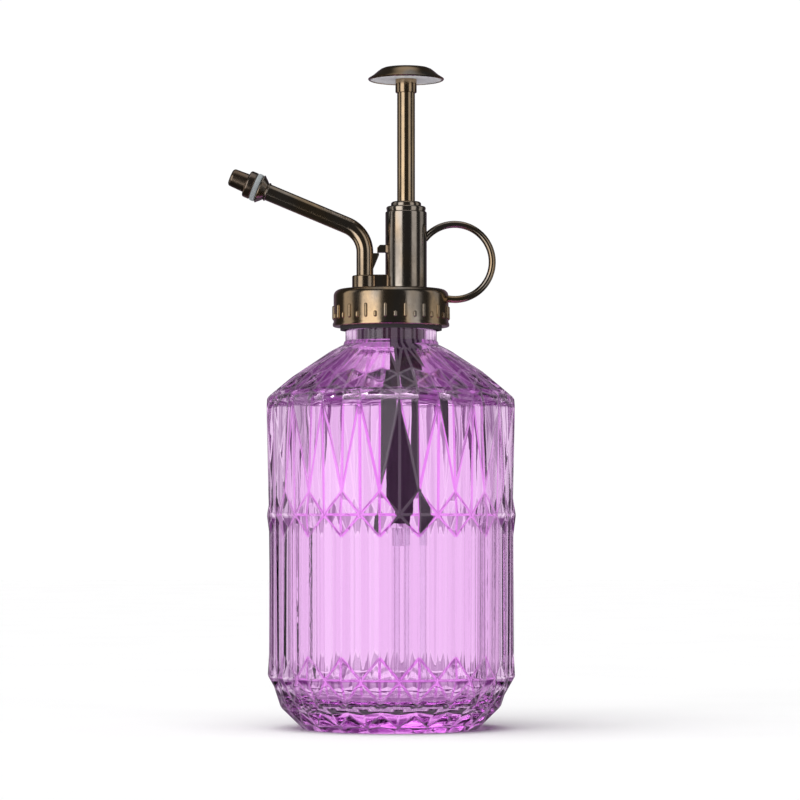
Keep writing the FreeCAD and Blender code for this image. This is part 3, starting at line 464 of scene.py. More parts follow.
class Bench:
    """Modelling moves made with operators; sizes are in millimetres."""

    @staticmethod
    def take(*pieces: bpy.types.Object) -> None:
        """Selects only these pieces and makes the first one active."""
        Bench.begin()
        for piece in pieces:
            piece.select_set(True)
        bpy.context.view_layer.objects.active = pieces[0]

    @staticmethod
    def begin() -> None:
        """Deselects everything, so that a new primitive is alone."""
        if bpy.context.mode != "OBJECT":
            bpy.ops.object.mode_set(mode="OBJECT")
        bpy.ops.object.select_all(action="DESELECT")

    @staticmethod
    def named(name: str) -> bpy.types.Object:
        """Names the active object and its mesh.

        Args:
            name: the piece's name.

        Returns:
            The object.
        """
        piece = bpy.context.active_object
        piece.name = name
        piece.data.name = name
        return piece

    @staticmethod
    def edit_all() -> None:
        """Enters edit mode with everything selected."""
        bpy.ops.object.mode_set(mode="EDIT")
        bpy.ops.mesh.select_all(action="SELECT")

    @staticmethod
    def tidy(threshold_mm: float = 0.002) -> None:
        """In edit mode, merges doubles and points the faces outwards, then leaves edit mode.

        Args:
            threshold_mm: distance within which points merge.
        """
        bpy.ops.mesh.select_all(action="SELECT")
        bpy.ops.mesh.remove_doubles(threshold=threshold_mm * MM)
        bpy.ops.mesh.normals_make_consistent(inside=False)
        bpy.ops.object.mode_set(mode="OBJECT")

    @staticmethod
    def trace(name: str, points: list, closed: bool) -> bpy.types.Object:
        """Draws an outline in the XZ plane by extruding one point after another.

        Args:
            name: the new object's name.
            points: pairs of radius and height.
            closed: whether the last point joins the first.

        Returns:
            The outline, left in edit mode with everything selected.
        """
        Bench.begin()
        bpy.ops.mesh.primitive_plane_add(size=MM)
        piece = Bench.named(name)
        Bench.edit_all()
        bpy.ops.mesh.select_mode(type="VERT")
        bpy.ops.mesh.merge(type="CENTER")
        here = Vector((0, 0, 0))
        for index, (radius, height) in enumerate(points):
            there = Vector((radius * MM, 0, height * MM))
            if index == 0:
                bpy.ops.transform.translate(value=there - here)
            else:
                move = {"value": there - here}
                bpy.ops.mesh.extrude_region_move(TRANSFORM_OT_translate=move)
            here = there
        if closed:
            work = bmesh.from_edit_mesh(piece.data)
            work.verts.ensure_lookup_table()
            for vertex in work.verts:
                vertex.select_set(vertex.index in (0, len(points) - 1))
            bmesh.update_edit_mesh(piece.data)
            bpy.ops.mesh.edge_face_add()
        bpy.ops.mesh.select_all(action="SELECT")
        return piece

    @staticmethod
    def lathe(name: str, points: list, steps: int = 96) -> bpy.types.Object:
        """Turns an outline about the Z axis; one that ends on the axis closes itself.

        Args:
            name: the new piece's name.
            points: pairs of radius and height.
            steps: faces round the axis.

        Returns:
            The turned piece.
        """
        on_axis = points[0][0] == 0 and points[-1][0] == 0
        piece = Bench.trace(name, points, not on_axis)
        bpy.ops.mesh.spin(steps=steps, angle=math.tau, center=(0, 0, 0), axis=(0, 0, 1))
        Bench.tidy()
        return piece

    @staticmethod
    def bevel(
        piece: bpy.types.Object, width: float, segments: int = 3, angle: float = 30.0, material: int = -1
    ) -> None:
        """Rounds every edge sharper than an angle.

        Args:
            piece: the piece to round.
            width: width of the rounding.
            segments: faces across the rounding.
            angle: sharpest edge that stays, in degrees.
            material: number of the material that the rounding gets, or -1 for its neighbours'.
        """
        bevel = piece.modifiers.new("Bevel", "BEVEL")
        bevel.width = width * MM
        bevel.segments = segments
        bevel.limit_method = "ANGLE"
        bevel.angle_limit = math.radians(angle)
        bevel.miter_outer = "MITER_ARC"
        bevel.material = material
        Bench.apply(piece, bevel)

    @staticmethod
    def apply(piece: bpy.types.Object, modifier: bpy.types.Modifier) -> None:
        """Applies one modifier of a piece."""
        Bench.take(piece)
        bpy.ops.object.modifier_apply(modifier=modifier.name)

    @staticmethod
    def smooth(piece: bpy.types.Object, angle: float = 35.0) -> None:
        """Shades a piece smooth, with large faces kept flat.

        Args:
            piece: the piece to shade.
            angle: edges sharper than this stay sharp, in degrees.
        """
        Bench.take(piece)
        bpy.ops.object.shade_smooth_by_angle(angle=math.radians(angle))
        weighted = piece.modifiers.new("Weighted", "WEIGHTED_NORMAL")
        weighted.keep_sharp = True
        Bench.apply(piece, weighted)

    @staticmethod
    def combine(piece: bpy.types.Object, other: bpy.types.Object, how: str = "UNION") -> None:
        """Joins another closed piece to this one, or cuts it out, and removes the other.

        Args:
            piece: the piece that stays.
            other: the piece that is used up.
            how: the boolean operation.
        """
        boolean = piece.modifiers.new("Boolean", "BOOLEAN")
        boolean.operation = how
        boolean.solver = "EXACT"
        boolean.object = other
        Bench.apply(piece, boolean)
        bpy.data.objects.remove(other)

    @staticmethod
    def join(pieces: list) -> bpy.types.Object:
        """Joins pieces into the first one.

        Args:
            pieces: mesh objects.

        Returns:
            The first piece.
        """
        Bench.take(*pieces)
        bpy.ops.object.join()
        return pieces[0]

    @staticmethod
    def put(piece: bpy.types.Object, matrix: Matrix) -> bpy.types.Object:
        """Moves a finished piece to its place and applies the place to its mesh.

        Args:
            piece: the piece to move.
            matrix: its place, in metres.

        Returns:
            The piece.
        """
        Bench.take(piece)
        piece.matrix_world = matrix
        bpy.ops.object.transform_apply(location=True, rotation=True, scale=True)
        return piece

    @staticmethod
    def block(name: str, low: tuple, high: tuple, rounding: float) -> bpy.types.Object:
        """A block between two corners with rounded edges.

        Args:
            name: the new piece's name.
            low: lowest corner.
            high: highest corner.
            rounding: width of the rounding.

        Returns:
            The block.
        """
        Bench.begin()
        low_corner, high_corner = Vector(low) * MM, Vector(high) * MM
        bpy.ops.mesh.primitive_cube_add(size=1, location=(low_corner + high_corner) / 2)
        piece = Bench.named(name)
        piece.scale = high_corner - low_corner
        bpy.ops.object.transform_apply(location=True, rotation=True, scale=True)
        if rounding:
            Bench.bevel(piece, rounding)
        return piece

    @staticmethod
    def wedge(name: str, outline: list, thickness: float, rounding: float) -> bpy.types.Object:
        """A flat outline in the XZ plane, extruded to both sides.

        Args:
            name: the new piece's name.
            outline: pairs of x and z.
            thickness: width along Y.
            rounding: width of the rounding.

        Returns:
            The wedge.
        """
        piece = Bench.trace(name, outline, True)
        bpy.ops.mesh.edge_face_add()
        bpy.ops.transform.translate(value=(0, -thickness * MM / 2, 0))
        move = {"value": (0, thickness * MM, 0)}
        bpy.ops.mesh.extrude_region_move(TRANSFORM_OT_translate=move)
        Bench.tidy()
        Bench.bevel(piece, rounding, 2)
        return piece


def arc(centre: tuple, radius: float, start: float, end: float, count: int) -> list:
    """Points on an arc of an outline.

    Args:
        centre: radius and height of the arc's centre.
        radius: the arc's radius.
        start: first angle in degrees, from the outward direction.
        end: last angle.
        count: how many points.

    Returns:
        Pairs of radius and height.
    """
    angles = [math.radians(start + (end - start) * step / (count - 1)) for step in range(count)]
    return [(centre[0] + radius * math.cos(a), centre[1] + radius * math.sin(a)) for a in angles]


def axis_of(node: str) -> float:
    """The x of a CAD node's own axis, in millimetres."""
    low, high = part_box(node)
    return (low.x + high.x) / 2 / MM


def heights_of(node: str) -> tuple:
    """A CAD node's lowest and highest z, in millimetres."""
    low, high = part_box(node)
    return low.z / MM, high.z / MM


def fit_on(piece: bpy.types.Object, look: Look, body: str, *nodes: str) -> None:
    """Finishes a piece: its look, the body it rides on and the CAD nodes it stands for.

    Args:
        piece: the finished mesh object.
        look: its finish.
        body: the CAD body that carries it.
        nodes: the CAD nodes that it replaces.
    """
    look.dress(piece)
    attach(piece, body)
    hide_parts(*nodes)
    log.info("%-16s %6d faces, on %s", piece.name, len(piece.data.polygons), body)


# ================================================================ glass bottle


@dataclass
class GlassBottle:
    """The pressed-glass bottle: cut pattern outside, wavy wall inside, threaded neck."""

    columns: int = 20
    first_column: float = 13.0
    wall_r: float = 39.0
    cone_top_z: float = 118.9
    cone_top_r: float = 16.5
    cone_slope: float = 1.4533
    heel_centre: tuple = (12.9, 22.0)
    heel_bend: float = 26.1
    foot_r: float = 27.4
    ridge: float = 0.45
    ridge_angle: float = 1.6
    flute: float = 0.38
    flute_steps: int = 4
    bead_r: float = 14.8
    neck_r: float = 14.3
    finish_r: float = 13.2
    thread_start: float = 125.9
    thread_pitch: float = 3.6
    thread_turns: float = 1.25
    thread_depth: float = 1.1
    bore_r: float = 11.2
    inner_r: float = 35.5
    inner_shoulder: float = 5.0
    inner_corner_z: float = 102.6
    inner_slant: float = 25.0
    inner_heel: float = 9.0
    floor_z: float = 7.6
    wave: float = 0.2

    def _cone(self, height: float) -> float:
        """The shoulder's radius at a height."""
        return self.cone_top_r + (self.cone_top_z - height) * self.cone_slope

    def _heel(self, height: float) -> float:
        """The rounded heel's radius at a height."""
        centre_r, centre_z = self.heel_centre
        return centre_r + math.sqrt(self.heel_bend**2 - (centre_z - height) ** 2)

    def _marks(self) -> dict:
        """The pattern's corners on half a column.

        Returns:
            For each corner: its place from the full line (0) to the half line (1), height, radius.
        """
        wall, cone, heel = self.wall_r, self._cone, self._heel
        marks = {
            "full_neck": (0, self.cone_top_z, self.cone_top_r),
            "half_neck": (1, self.cone_top_z, self.cone_top_r),
            "arch_side": (0.58, 117.2, cone(117.2) + 0.7),
            "arch_top": (1, 118.1, cone(118.1) + 0.35),
            "full_arch": (0, 109.2, cone(109.2) + 0.9),
            "half_arch": (1, 111.2, cone(111.2) + 1.0),
            "half_gem": (1, 106.2, cone(106.2) - 1.0),
            "full_rim": (0, 103.1, wall - 0.2),
            "half_rim": (1, 104.1, wall - 2.5),
            "full_top": (0, 101.5, wall),
            "half_top": (1, 102.3, wall - 2.4),
            "half_kite": (1, 73.4, wall - 1.1),
            "full_cross": (0, 66.4, wall - 0.8),
            "half_stud": (1, 66.4, wall + 0.1),
            "half_rib": (1, 59.8, wall - 0.7),
            "half_toe": (1, 23.3, wall - 0.6),
            "full_low": (0, 16.35, heel(16.35) - 0.8),
            "half_low": (1, 16.35, heel(16.35) + 0.4),
            "half_point": (1, 9.0, heel(9.0) - 0.9),
            "full_band": (0, 6.6, heel(6.6) + 0.4),
            "half_band": (1, 6.2, heel(6.2) - 1.1),
            "full_tip": (0, 1.7, heel(1.7)),
            "half_tip": (1, 1.9, heel(1.9) - 0.4),
            "full_base": (0, 0.0, self.foot_r),
            "half_base": (1, 0.0, self.foot_r - 0.5),
        }
        half_turn = math.pi / (2 * self.columns)
        for index in range(1, self.flute_steps):
            share = index / self.flute_steps
            dip = self.flute * 4 * share * (1 - share) + wall * (1 - math.cos(half_turn)) * 0.9
            for name, first, last in (("cross", "full_cross", "half_rib"), ("low", "full_low", "half_toe")):
                height = marks[first][1] + (marks[last][1] - marks[first][1]) * share
                radius = marks[first][2] + (marks[last][2] - marks[first][2]) * share
                marks[f"{name}_{index}"] = (share, height, radius - dip * 4 * share * (1 - share))
        return marks

    def _flutes(self) -> list:
        """The hollow strips between the two rows of diamonds.

        Returns:
            Each strip's corner names.
        """
        tops = ["full_cross"] + [f"cross_{i}" for i in range(1, self.flute_steps)] + ["half_rib"]
        feet = ["full_low"] + [f"low_{i}" for i in range(1, self.flute_steps)] + ["half_toe"]
        return [(tops[i], tops[i + 1], feet[i + 1], feet[i]) for i in range(self.flute_steps)]

    def _row(self, name: str, forward: bool = False) -> list:
        """The corners along one end of the flutes, from the half line or towards it."""
        order = range(1, self.flute_steps) if forward else range(self.flute_steps - 1, 0, -1)
        return [f"{name}_{index}" for index in order]

    def _panels(self) -> list:
        """The flat panels between the corners, from the neck down.

        Returns:
            Each panel's corner names.
        """
        return self._flutes() + [
            ("full_neck", "arch_side", "full_arch"),
            ("full_neck", "half_neck", "arch_top", "arch_side"),
            ("arch_side", "arch_top", "half_arch", "full_arch"),
            ("full_arch", "half_arch", "half_gem"),
            ("full_arch", "half_gem", "full_rim"),
            ("full_rim", "half_gem", "half_rim"),
            ("full_rim", "half_rim", "half_top", "full_top"),
            ("full_top", "half_top", "half_kite"),
            ("full_top", "half_kite", "full_cross"),
            ("full_cross", "half_kite", "half_stud"),
            ("full_cross", "half_stud", "half_rib", *self._row("cross")),
            ("half_toe", "half_low", "full_low", *self._row("low", True)),
            ("full_low", "half_low", "half_point"),
            ("full_low", "half_point", "full_band"),
            ("full_band", "half_point", "half_band"),
            ("full_band", "half_band", "full_tip"),
            ("full_tip", "half_band", "half_tip"),
            ("full_tip", "half_tip", "half_base", "full_base"),
        ]

    def _half_column(self) -> bpy.types.Object:
        """Half a column of the pattern, with its half line in the XZ plane.

        Returns:
            The half column.
        """
        step = math.pi / self.columns
        names, points = [], []
        for name, (share, height, radius) in self._marks().items():
            angle = -step * (1 - share)
            names.append(name)
            points.append((radius * math.cos(angle) * MM, radius * math.sin(angle) * MM, height * MM))
        faces = [[names.index(corner) for corner in panel] for panel in self._panels()]
        mesh = bpy.data.meshes.new("bottle_glass")
        mesh.from_pydata(points, [], faces)
        piece = bpy.data.objects.new("bottle_glass", mesh)
        bpy.context.scene.collection.objects.link(piece)
        return piece

    def _outside(self) -> bpy.types.Object:
        """The whole cut pattern with softened ridges, open at the neck and at the foot.

        Returns:
            The outer shell.
        """
        piece = self._half_column()
        mirror = piece.modifiers.new("Mirror", "MIRROR")
        mirror.use_axis = (False, True, False)
        mirror.merge_threshold = 0.001 * MM
        Bench.apply(piece, mirror)
        Bench.edit_all()
        spread = math.tau * (self.columns - 1) / self.columns
        bpy.ops.mesh.spin(
            steps=self.columns - 1, angle=spread, dupli=True, center=(0, 0, 0), axis=(0, 0, 1)
        )
        Bench.tidy()
        Bench.put(piece, Matrix.Rotation(math.radians(self.first_column), 4, "Z"))
        for look in (Look.GLASS, Look.RIDGE):
            piece.data.materials.append(look.value.material())
        # The roundings take the second finish, with its painted glow and paler tint; the flutes' faces go
        # back to plain glass below.
        Bench.bevel(piece, self.ridge, 2, self.ridge_angle, 1)
        marks = self._marks()
        low, high = marks["half_toe"][1], marks["half_rib"][1]
        for face in piece.data.polygons:
            if low < face.center.z / MM < high:
                face.material_index = 0
        return piece

    def _thread(self, angle: float, height: float) -> float:
        """How far the thread stands out at a point of the neck.

        Args:
            angle: in radians, from where the thread starts.
            height: in millimetres.

        Returns:
            The ridge's height there.
        """
        best = 0.0
        for lap in range(2):
            turn = angle / math.tau + lap
            if turn > self.thread_turns:
                continue
            away = abs(height - self.thread_start - turn * self.thread_pitch)
            fade = min(1.0, turn / 0.06, (self.thread_turns - turn) / 0.06)
            best = max(best, max(0.0, min(1.0, (1.0 - away) / 0.5)) * max(fade, 0.0))
        return best * self.thread_depth

    def _raise_loop(self, piece: bpy.types.Object, rings: list) -> None:
        """Extrudes the selected open edge ring by ring.

        Args:
            piece: the shell, in edit mode with its open edge selected.
            rings: pairs of radius and height.
        """
        for radius, height in rings:
            bpy.ops.mesh.extrude_region_move(TRANSFORM_OT_translate={"value": (0, 0, 0)})
            work = bmesh.from_edit_mesh(piece.data)
            for vertex in (v for v in work.verts if v.select):
                angle = math.atan2(vertex.co.y, vertex.co.x)
                lap = (angle + math.pi / 2) % math.tau
                on_finish = self.thread_start - 2 < height < 131.9 and radius < self.neck_r
                reach = radius + (self._thread(lap, height) if on_finish else 0)
                vertex.co = (reach * MM * math.cos(angle), reach * MM * math.sin(angle), height * MM)
            bmesh.update_edit_mesh(piece.data)

    @staticmethod
    def _select_open(piece: bpy.types.Object, top: bool) -> None:
        """Selects the shell's upper or lower open edge.

        Args:
            piece: the shell, in edit mode.
            top: whether the upper edge is meant.
        """
        bpy.ops.mesh.select_mode(type="EDGE")
        bpy.ops.mesh.select_all(action="DESELECT")
        work = bmesh.from_edit_mesh(piece.data)
        open_edges = [e for e in work.edges if e.is_boundary]
        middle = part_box("bottle")[1].z / 2
        for edge in open_edges:
            if (edge.verts[0].co.z > middle) == top:
                edge.select_set(True)
        bmesh.update_edit_mesh(piece.data)

    def _close_outside(self, piece: bpy.types.Object) -> None:
        """Adds the foot, and the neck with its bead and thread, up to the mouth.

        Args:
            piece: the outer shell.
        """
        Bench.take(piece)
        bpy.ops.object.mode_set(mode="EDIT")
        self._select_open(piece, False)
        self._raise_loop(piece, [(26.6, 0.0), (25.6, 0.25), (24.6, 0.7), (16, 0.85), (8, 0.9), (2, 0.9)])
        bpy.ops.mesh.merge(type="CENTER")
        self._select_open(piece, True)
        step = 0.25
        lowest, highest = 124.4, 131.9
        count = round((highest - lowest) / step)
        finish = [(self.finish_r, lowest + step * index) for index in range(count + 1)]
        rings = [(15.6, 119.35), (15.0, 119.55), (14.85, 119.8), (self.bead_r, 120.2), (14.6, 120.6)]
        rings += [(self.neck_r, 120.9), (self.neck_r, 123.8), (self.neck_r - 0.15, 124.1)]
        rings += finish + [(13.1, 132.15), (12.85, 132.35), (12.4, 132.4)]
        self._raise_loop(piece, rings)
        bpy.ops.object.mode_set(mode="OBJECT")

    def _inside(self) -> bpy.types.Object:
        """The inner surface, from the mouth down to the middle of the floor.

        Returns:
            The inner shell, open at the mouth.
        """
        inner, bend, heel = self.inner_r, self.inner_shoulder, self.inner_heel
        turn = 90 - self.inner_slant
        corner = (inner, self.inner_corner_z)
        setback = bend * math.tan(math.radians(turn / 2))
        slide = (math.cos(math.radians(90 - turn)), -math.sin(math.radians(90 - turn)))
        start = (corner[0] - setback * slide[0], corner[1] + setback * slide[1])
        outline = [(12.0, 132.4), (11.55, 132.3), (11.3, 132.05), (self.bore_r, 131.6)]
        outline += [(self.bore_r, z) for z in (129, 126, 123, 120, 117.5)]
        neck = (self.bore_r + 4, 117.5)
        outline += arc(neck, 4, 180, 180 + turn, 7)[1:]
        low_end = outline[-1]
        outline += [
            (low_end[0] + (start[0] - low_end[0]) * i / 14, low_end[1] + (start[1] - low_end[1]) * i / 14)
            for i in range(1, 14)
        ]
        outline += arc((inner - bend, corner[1] - setback), bend, turn, 0, 16)
        top = corner[1] - setback
        low = self.floor_z + heel
        rings = 64
        outline += [(inner, top + (low - top) * step / rings) for step in range(1, rings + 1)]
        outline += arc((inner - heel, low), heel, 0, -84, 16)[1:]
        floor_r = outline[-1][0]
        outline += [(floor_r * share, self.floor_z - 0.25 * (1 - share)) for share in (0.8, 0.6, 0.4, 0.2)]
        outline.append((0, self.floor_z - 0.3))
        piece = Bench.trace("bottle_inside", outline, False)
        bpy.ops.mesh.spin(steps=180, angle=math.tau, center=(0, 0, 0), axis=(0, 0, 1))
        Bench.tidy()
        return piece

    def _ripple(self, piece: bpy.types.Object) -> None:
        """Makes the inner wall uneven, as pressed glass is.

        Args:
            piece: the inner shell.
        """
        for vertex in piece.data.vertices:
            height = vertex.co.z / MM
            upper = max(0.0, 1 - abs(height - 96) / 20)
            share = 0.04 + upper if 8 < height < 116 else 0.0
            x, y = vertex.co.x / MM, vertex.co.y / MM
            broad = noise.noise(Vector((x / 9, y / 9, height / 22)))
            streak = noise.noise(Vector((x / 3.2 + 40, y / 3.2, height / 9)))
            reach = math.hypot(x, y)
            if reach > 1e-6:
                scale = 1 + self.wave * share * (broad + 0.55 * streak) / reach
                vertex.co.x *= scale
                vertex.co.y *= scale

    def build(self) -> None:
        """Makes the bottle and dresses it in glass."""
        outside = self._outside()
        self._close_outside(outside)
        inside = self._inside()
        self._ripple(inside)
        inside.data.materials.append(Look.GLASS.value.material())
        piece = Bench.join([outside, inside])
        Bench.edit_all()
        bpy.ops.mesh.select_mode(type="EDGE")
        bpy.ops.mesh.select_all(action="DESELECT")
        bpy.ops.mesh.select_non_manifold(
            extend=False, use_wire=False, use_multi_face=False, use_non_contiguous=False, use_verts=False
        )
        bpy.ops.mesh.bridge_edge_loops()
        bpy.ops.mesh.select_mode(type="VERT")
        Bench.tidy(0.001)
        Bench.smooth(piece, 75)
        fit_on(piece, Look.GLASS, "bottle", "bottle")


# ================================================================ cap


@dataclass
class PlatedCap:
    """The plated cap over its threaded liner."""

    skirt_r: float = 18.0
    skirt_bore_r: float = 16.0
    lip: float = 0.25
    hole_r: float = 12.4
    deck: float = 1.6
    ribs: int = 18
    rib_turn: float = 4.5
    rib_long: float = 4.4
    rib_short: float = 2.0
    rib_r: float = 0.56
    rib_low: float = 2.1

    def _ribs(self, bottom: float) -> bpy.types.Object:
        """The long and short grip ribs, as one set of half-sunk beads.

        Args:
            bottom: height of the cap's rim.

        Returns:
            All the ribs, in place.
        """
        beads = []
        for index in range(self.ribs * 2):
            length = self.rib_short if index % 2 else self.rib_long
            Bench.begin()
            bpy.ops.mesh.primitive_uv_sphere_add(segments=16, ring_count=10, radius=self.rib_r * MM)
            bead = Bench.named(f"rib_{index}")
            for vertex in bead.data.vertices:
                vertex.co.x *= 0.9
                if vertex.co.z > 0.001 * MM:
                    vertex.co.z += (length - 2 * self.rib_r) * MM
            angle = math.radians(self.rib_turn + 180 / self.ribs * index)
            place = Matrix.Rotation(angle, 4, "Z")
            height = (bottom + self.rib_low + self.rib_r) * MM
            place = place @ Matrix.Translation((self.skirt_r * MM, 0, height))
            beads.append(Bench.put(bead, place))
        return Bench.join(beads)

    def build(self) -> None:
        """Makes the cap."""
        low, high = heights_of("collar")
        shoulder = 2.1
        outline = [
            (self.skirt_bore_r, low + 0.3),
            (self.skirt_bore_r + 0.3, low),
            (self.skirt_r + self.lip - 0.25, low),
            (self.skirt_r + self.lip, low + 0.25),
            (self.skirt_r + self.lip, low + 0.9),
            (self.skirt_r, low + 1.4),
        ]
        outline += arc((self.skirt_r - shoulder, high - shoulder), shoulder, 0, 90, 10)
        outline += [(self.hole_r + 0.25, high), (self.hole_r, high - 0.25)]
        outline += [(self.hole_r, high - self.deck), (self.skirt_bore_r, high - self.deck)]
        cap = Bench.lathe("collar_shell", outline, 180)
        Bench.combine(cap, self._ribs(low))
        Bench.smooth(cap, 30)
        fit_on(cap, Look.BRONZE, "head", "collar")


# ================================================================ pump body and ring


@dataclass
class PumpBody:
    """The plated moulding that holds the barrel, the spout's socket and the neck plug."""

    barrel_r: float = 6.5
    socket_r: float = 4.0
    boss_r: float = 12.3
    plug_r: float = 10.9
    flange_r: float = 13.0
    web: float = 5.0
    web_rise: float = 4.6
    lug: float = 2.6
    lug_rise: float = 11.6
    steps: int = 96

    def _barrel(self, deck: float, top: float) -> bpy.types.Object:
        """The barrel, with a small fillet where it meets the deck.

        Args:
            deck: height of the cap's top.
            top: height of the barrel's top.

        Returns:
            The barrel, in place.
        """
        outline = [(0, deck - 1), (self.barrel_r + 0.9, deck - 1), (self.barrel_r + 0.9, deck + 0.02)]
        outline += arc((self.barrel_r + 0.9, deck + 0.92), 0.9, 270, 180, 6)
        outline += arc((self.barrel_r - 0.5, top - 0.5), 0.5, 0, 90, 5) + [(0, top)]
        barrel = Bench.lathe("pump_body_shell", outline, self.steps)
        return Bench.put(barrel, Matrix.Translation((axis_of("pump_jacket") * MM, 0, 0)))

    def _plug(self, deck: float) -> bpy.types.Object:
        """The disc in the cap's deck, the flange below it and the hollow neck plug.

        Args:
            deck: height of the cap's top.

        Returns:
            The plug, in place.
        """
        low = heights_of("pump_body")[0]
        flange = heights_of("cap_gasket")[1]
        under = deck - 1.6
        outline = [(0, low + 6.3), (self.plug_r - 0.9, low + 6.3), (self.plug_r - 0.9, low)]
        outline += [(self.plug_r - 0.2, low), (self.plug_r, low + 0.3), (self.plug_r, flange)]
        outline += [(self.flange_r, flange), (self.flange_r, under), (self.boss_r, under)]
        outline += [(self.boss_r, deck - 0.15), (self.boss_r - 0.2, deck + 0.05), (0, deck + 0.05)]
        return Bench.lathe("plug", outline, self.steps)

    def _socket(self, deck: float) -> bpy.types.Object:
        """The round socket that the spout's pipe stands in.

        Args:
            deck: height of the cap's top.

        Returns:
            The socket, in place.
        """
        top = deck + 4.4
        outline = [(0, deck - 1), (self.socket_r + 0.6, deck - 1), (self.socket_r + 0.6, deck)]
        outline += arc((self.socket_r + 0.6, deck + 0.6), 0.6, 270, 180, 5)
        outline += arc((self.socket_r - 0.45, top - 0.45), 0.45, 0, 90, 5) + [(0, top)]
        socket = Bench.lathe("socket", outline, 64)
        return Bench.put(socket, Matrix.Translation((axis_of("outlet_ball") * MM, 0, 0)))

    def build(self) -> None:
        """Makes the moulding in one piece."""
        top = heights_of("pump_body")[1]
        deck = heights_of("collar")[1]
        pump, spout = axis_of("pump_jacket"), axis_of("outlet_ball")
        body = self._barrel(deck, top)
        Bench.combine(body, self._plug(deck))
        Bench.combine(body, self._socket(deck))
        side = self.web / 2
        web_low = (spout + 1, -side, deck - 1)
        web_high = (pump - self.barrel_r + 1, side, deck + self.web_rise)
        Bench.combine(body, Bench.block("web", web_low, web_high, 0.35))
        lug_z, lug_tip, lug_root = deck + self.lug_rise, spout + 3.8, pump - self.barrel_r + 1
        lug = [(lug_tip, lug_z), (lug_root, lug_z), (lug_root, lug_z + 2.4)]
        lug += [(lug_tip + 0.9, lug_z + 2.4), (lug_tip, lug_z + 1.5)]
        Bench.combine(body, Bench.wedge("lug", lug, self.lug, 0.2))
        Bench.smooth(body, 30)
        # Its finish paints shade on the plug inside the glass neck.
        fit_on(body, Look.SUNK, "head", "pump_body")


@dataclass
class FingerRing:
    """The open ring for a finger, from the barrel's side to the cap's side."""

    ring_r: float = 11.8
    wire_r: float = 1.12
    half_depth: float = 1.2
    start: float = -106.0
    sweep: float = 249.0
    steps: int = 84

    def build(self) -> None:
        """Spins a round section along the ring."""
        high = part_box("finger_ring")[1]
        centre_x = high.x / MM - self.ring_r - self.wire_r
        centre_z = high.z / MM - self.ring_r - self.wire_r
        Bench.begin()
        bpy.ops.mesh.primitive_circle_add(
            vertices=28, radius=self.wire_r * MM, fill_type="NGON", rotation=(math.pi / 2, 0, 0)
        )
        ring = Bench.named("finger_ring_wire")
        bpy.ops.object.transform_apply(location=True, rotation=True, scale=True)
        Bench.put(ring, Matrix.Rotation(math.pi / 2, 4, "X") @ Matrix.Translation((self.ring_r * MM, 0, 0)))
        Bench.edit_all()
        bpy.ops.mesh.spin(
            steps=self.steps, angle=math.radians(self.sweep), center=(0, 0, 0), axis=(0, 1, 0)
        )
        Bench.tidy()
        for vertex in ring.data.vertices:
            vertex.co.y *= self.half_depth / self.wire_r
        turned = Matrix.Rotation(math.radians(-self.start), 4, "Y")
        Bench.put(ring, Matrix.Translation((centre_x * MM, 0, centre_z * MM)) @ turned)
        Bench.smooth(ring, 60)
        fit_on(ring, Look.BRONZE, "head", "finger_ring")


@dataclass
class Gland:
    """The two-step ring that closes the barrel round the rod."""

    foot_r: float = 6.2
    top_r: float = 4.75
    bore_r: float = 2.87

    def build(self) -> None:
        """Makes the gland's visible ring."""
        low = heights_of("pump_body")[1]
        top = heights_of("barrel_gland")[1]
        step = low + 1.6
        outline = [(self.bore_r, low - 3.5), (4.2, low - 3.5), (4.2, low), (self.foot_r - 0.2, low)]
        outline += arc((self.foot_r - 0.6, step - 0.6), 0.6, 0, 90, 6)
        outline += [(self.top_r, step)]
        outline += arc((self.top_r - 0.8, top - 0.8), 0.8, 0, 90, 7)
        outline += [(self.bore_r + 0.3, top), (self.bore_r, top - 0.3)]
        gland = Bench.lathe("gland_ring", outline, 96)
        Bench.put(gland, Matrix.Translation((axis_of("pump_jacket") * MM, 0, 0)))
        Bench.smooth(gland, 35)
        fit_on(gland, Look.BRONZE, "head", "barrel_gland")


# ================================================================ spout and nozzle


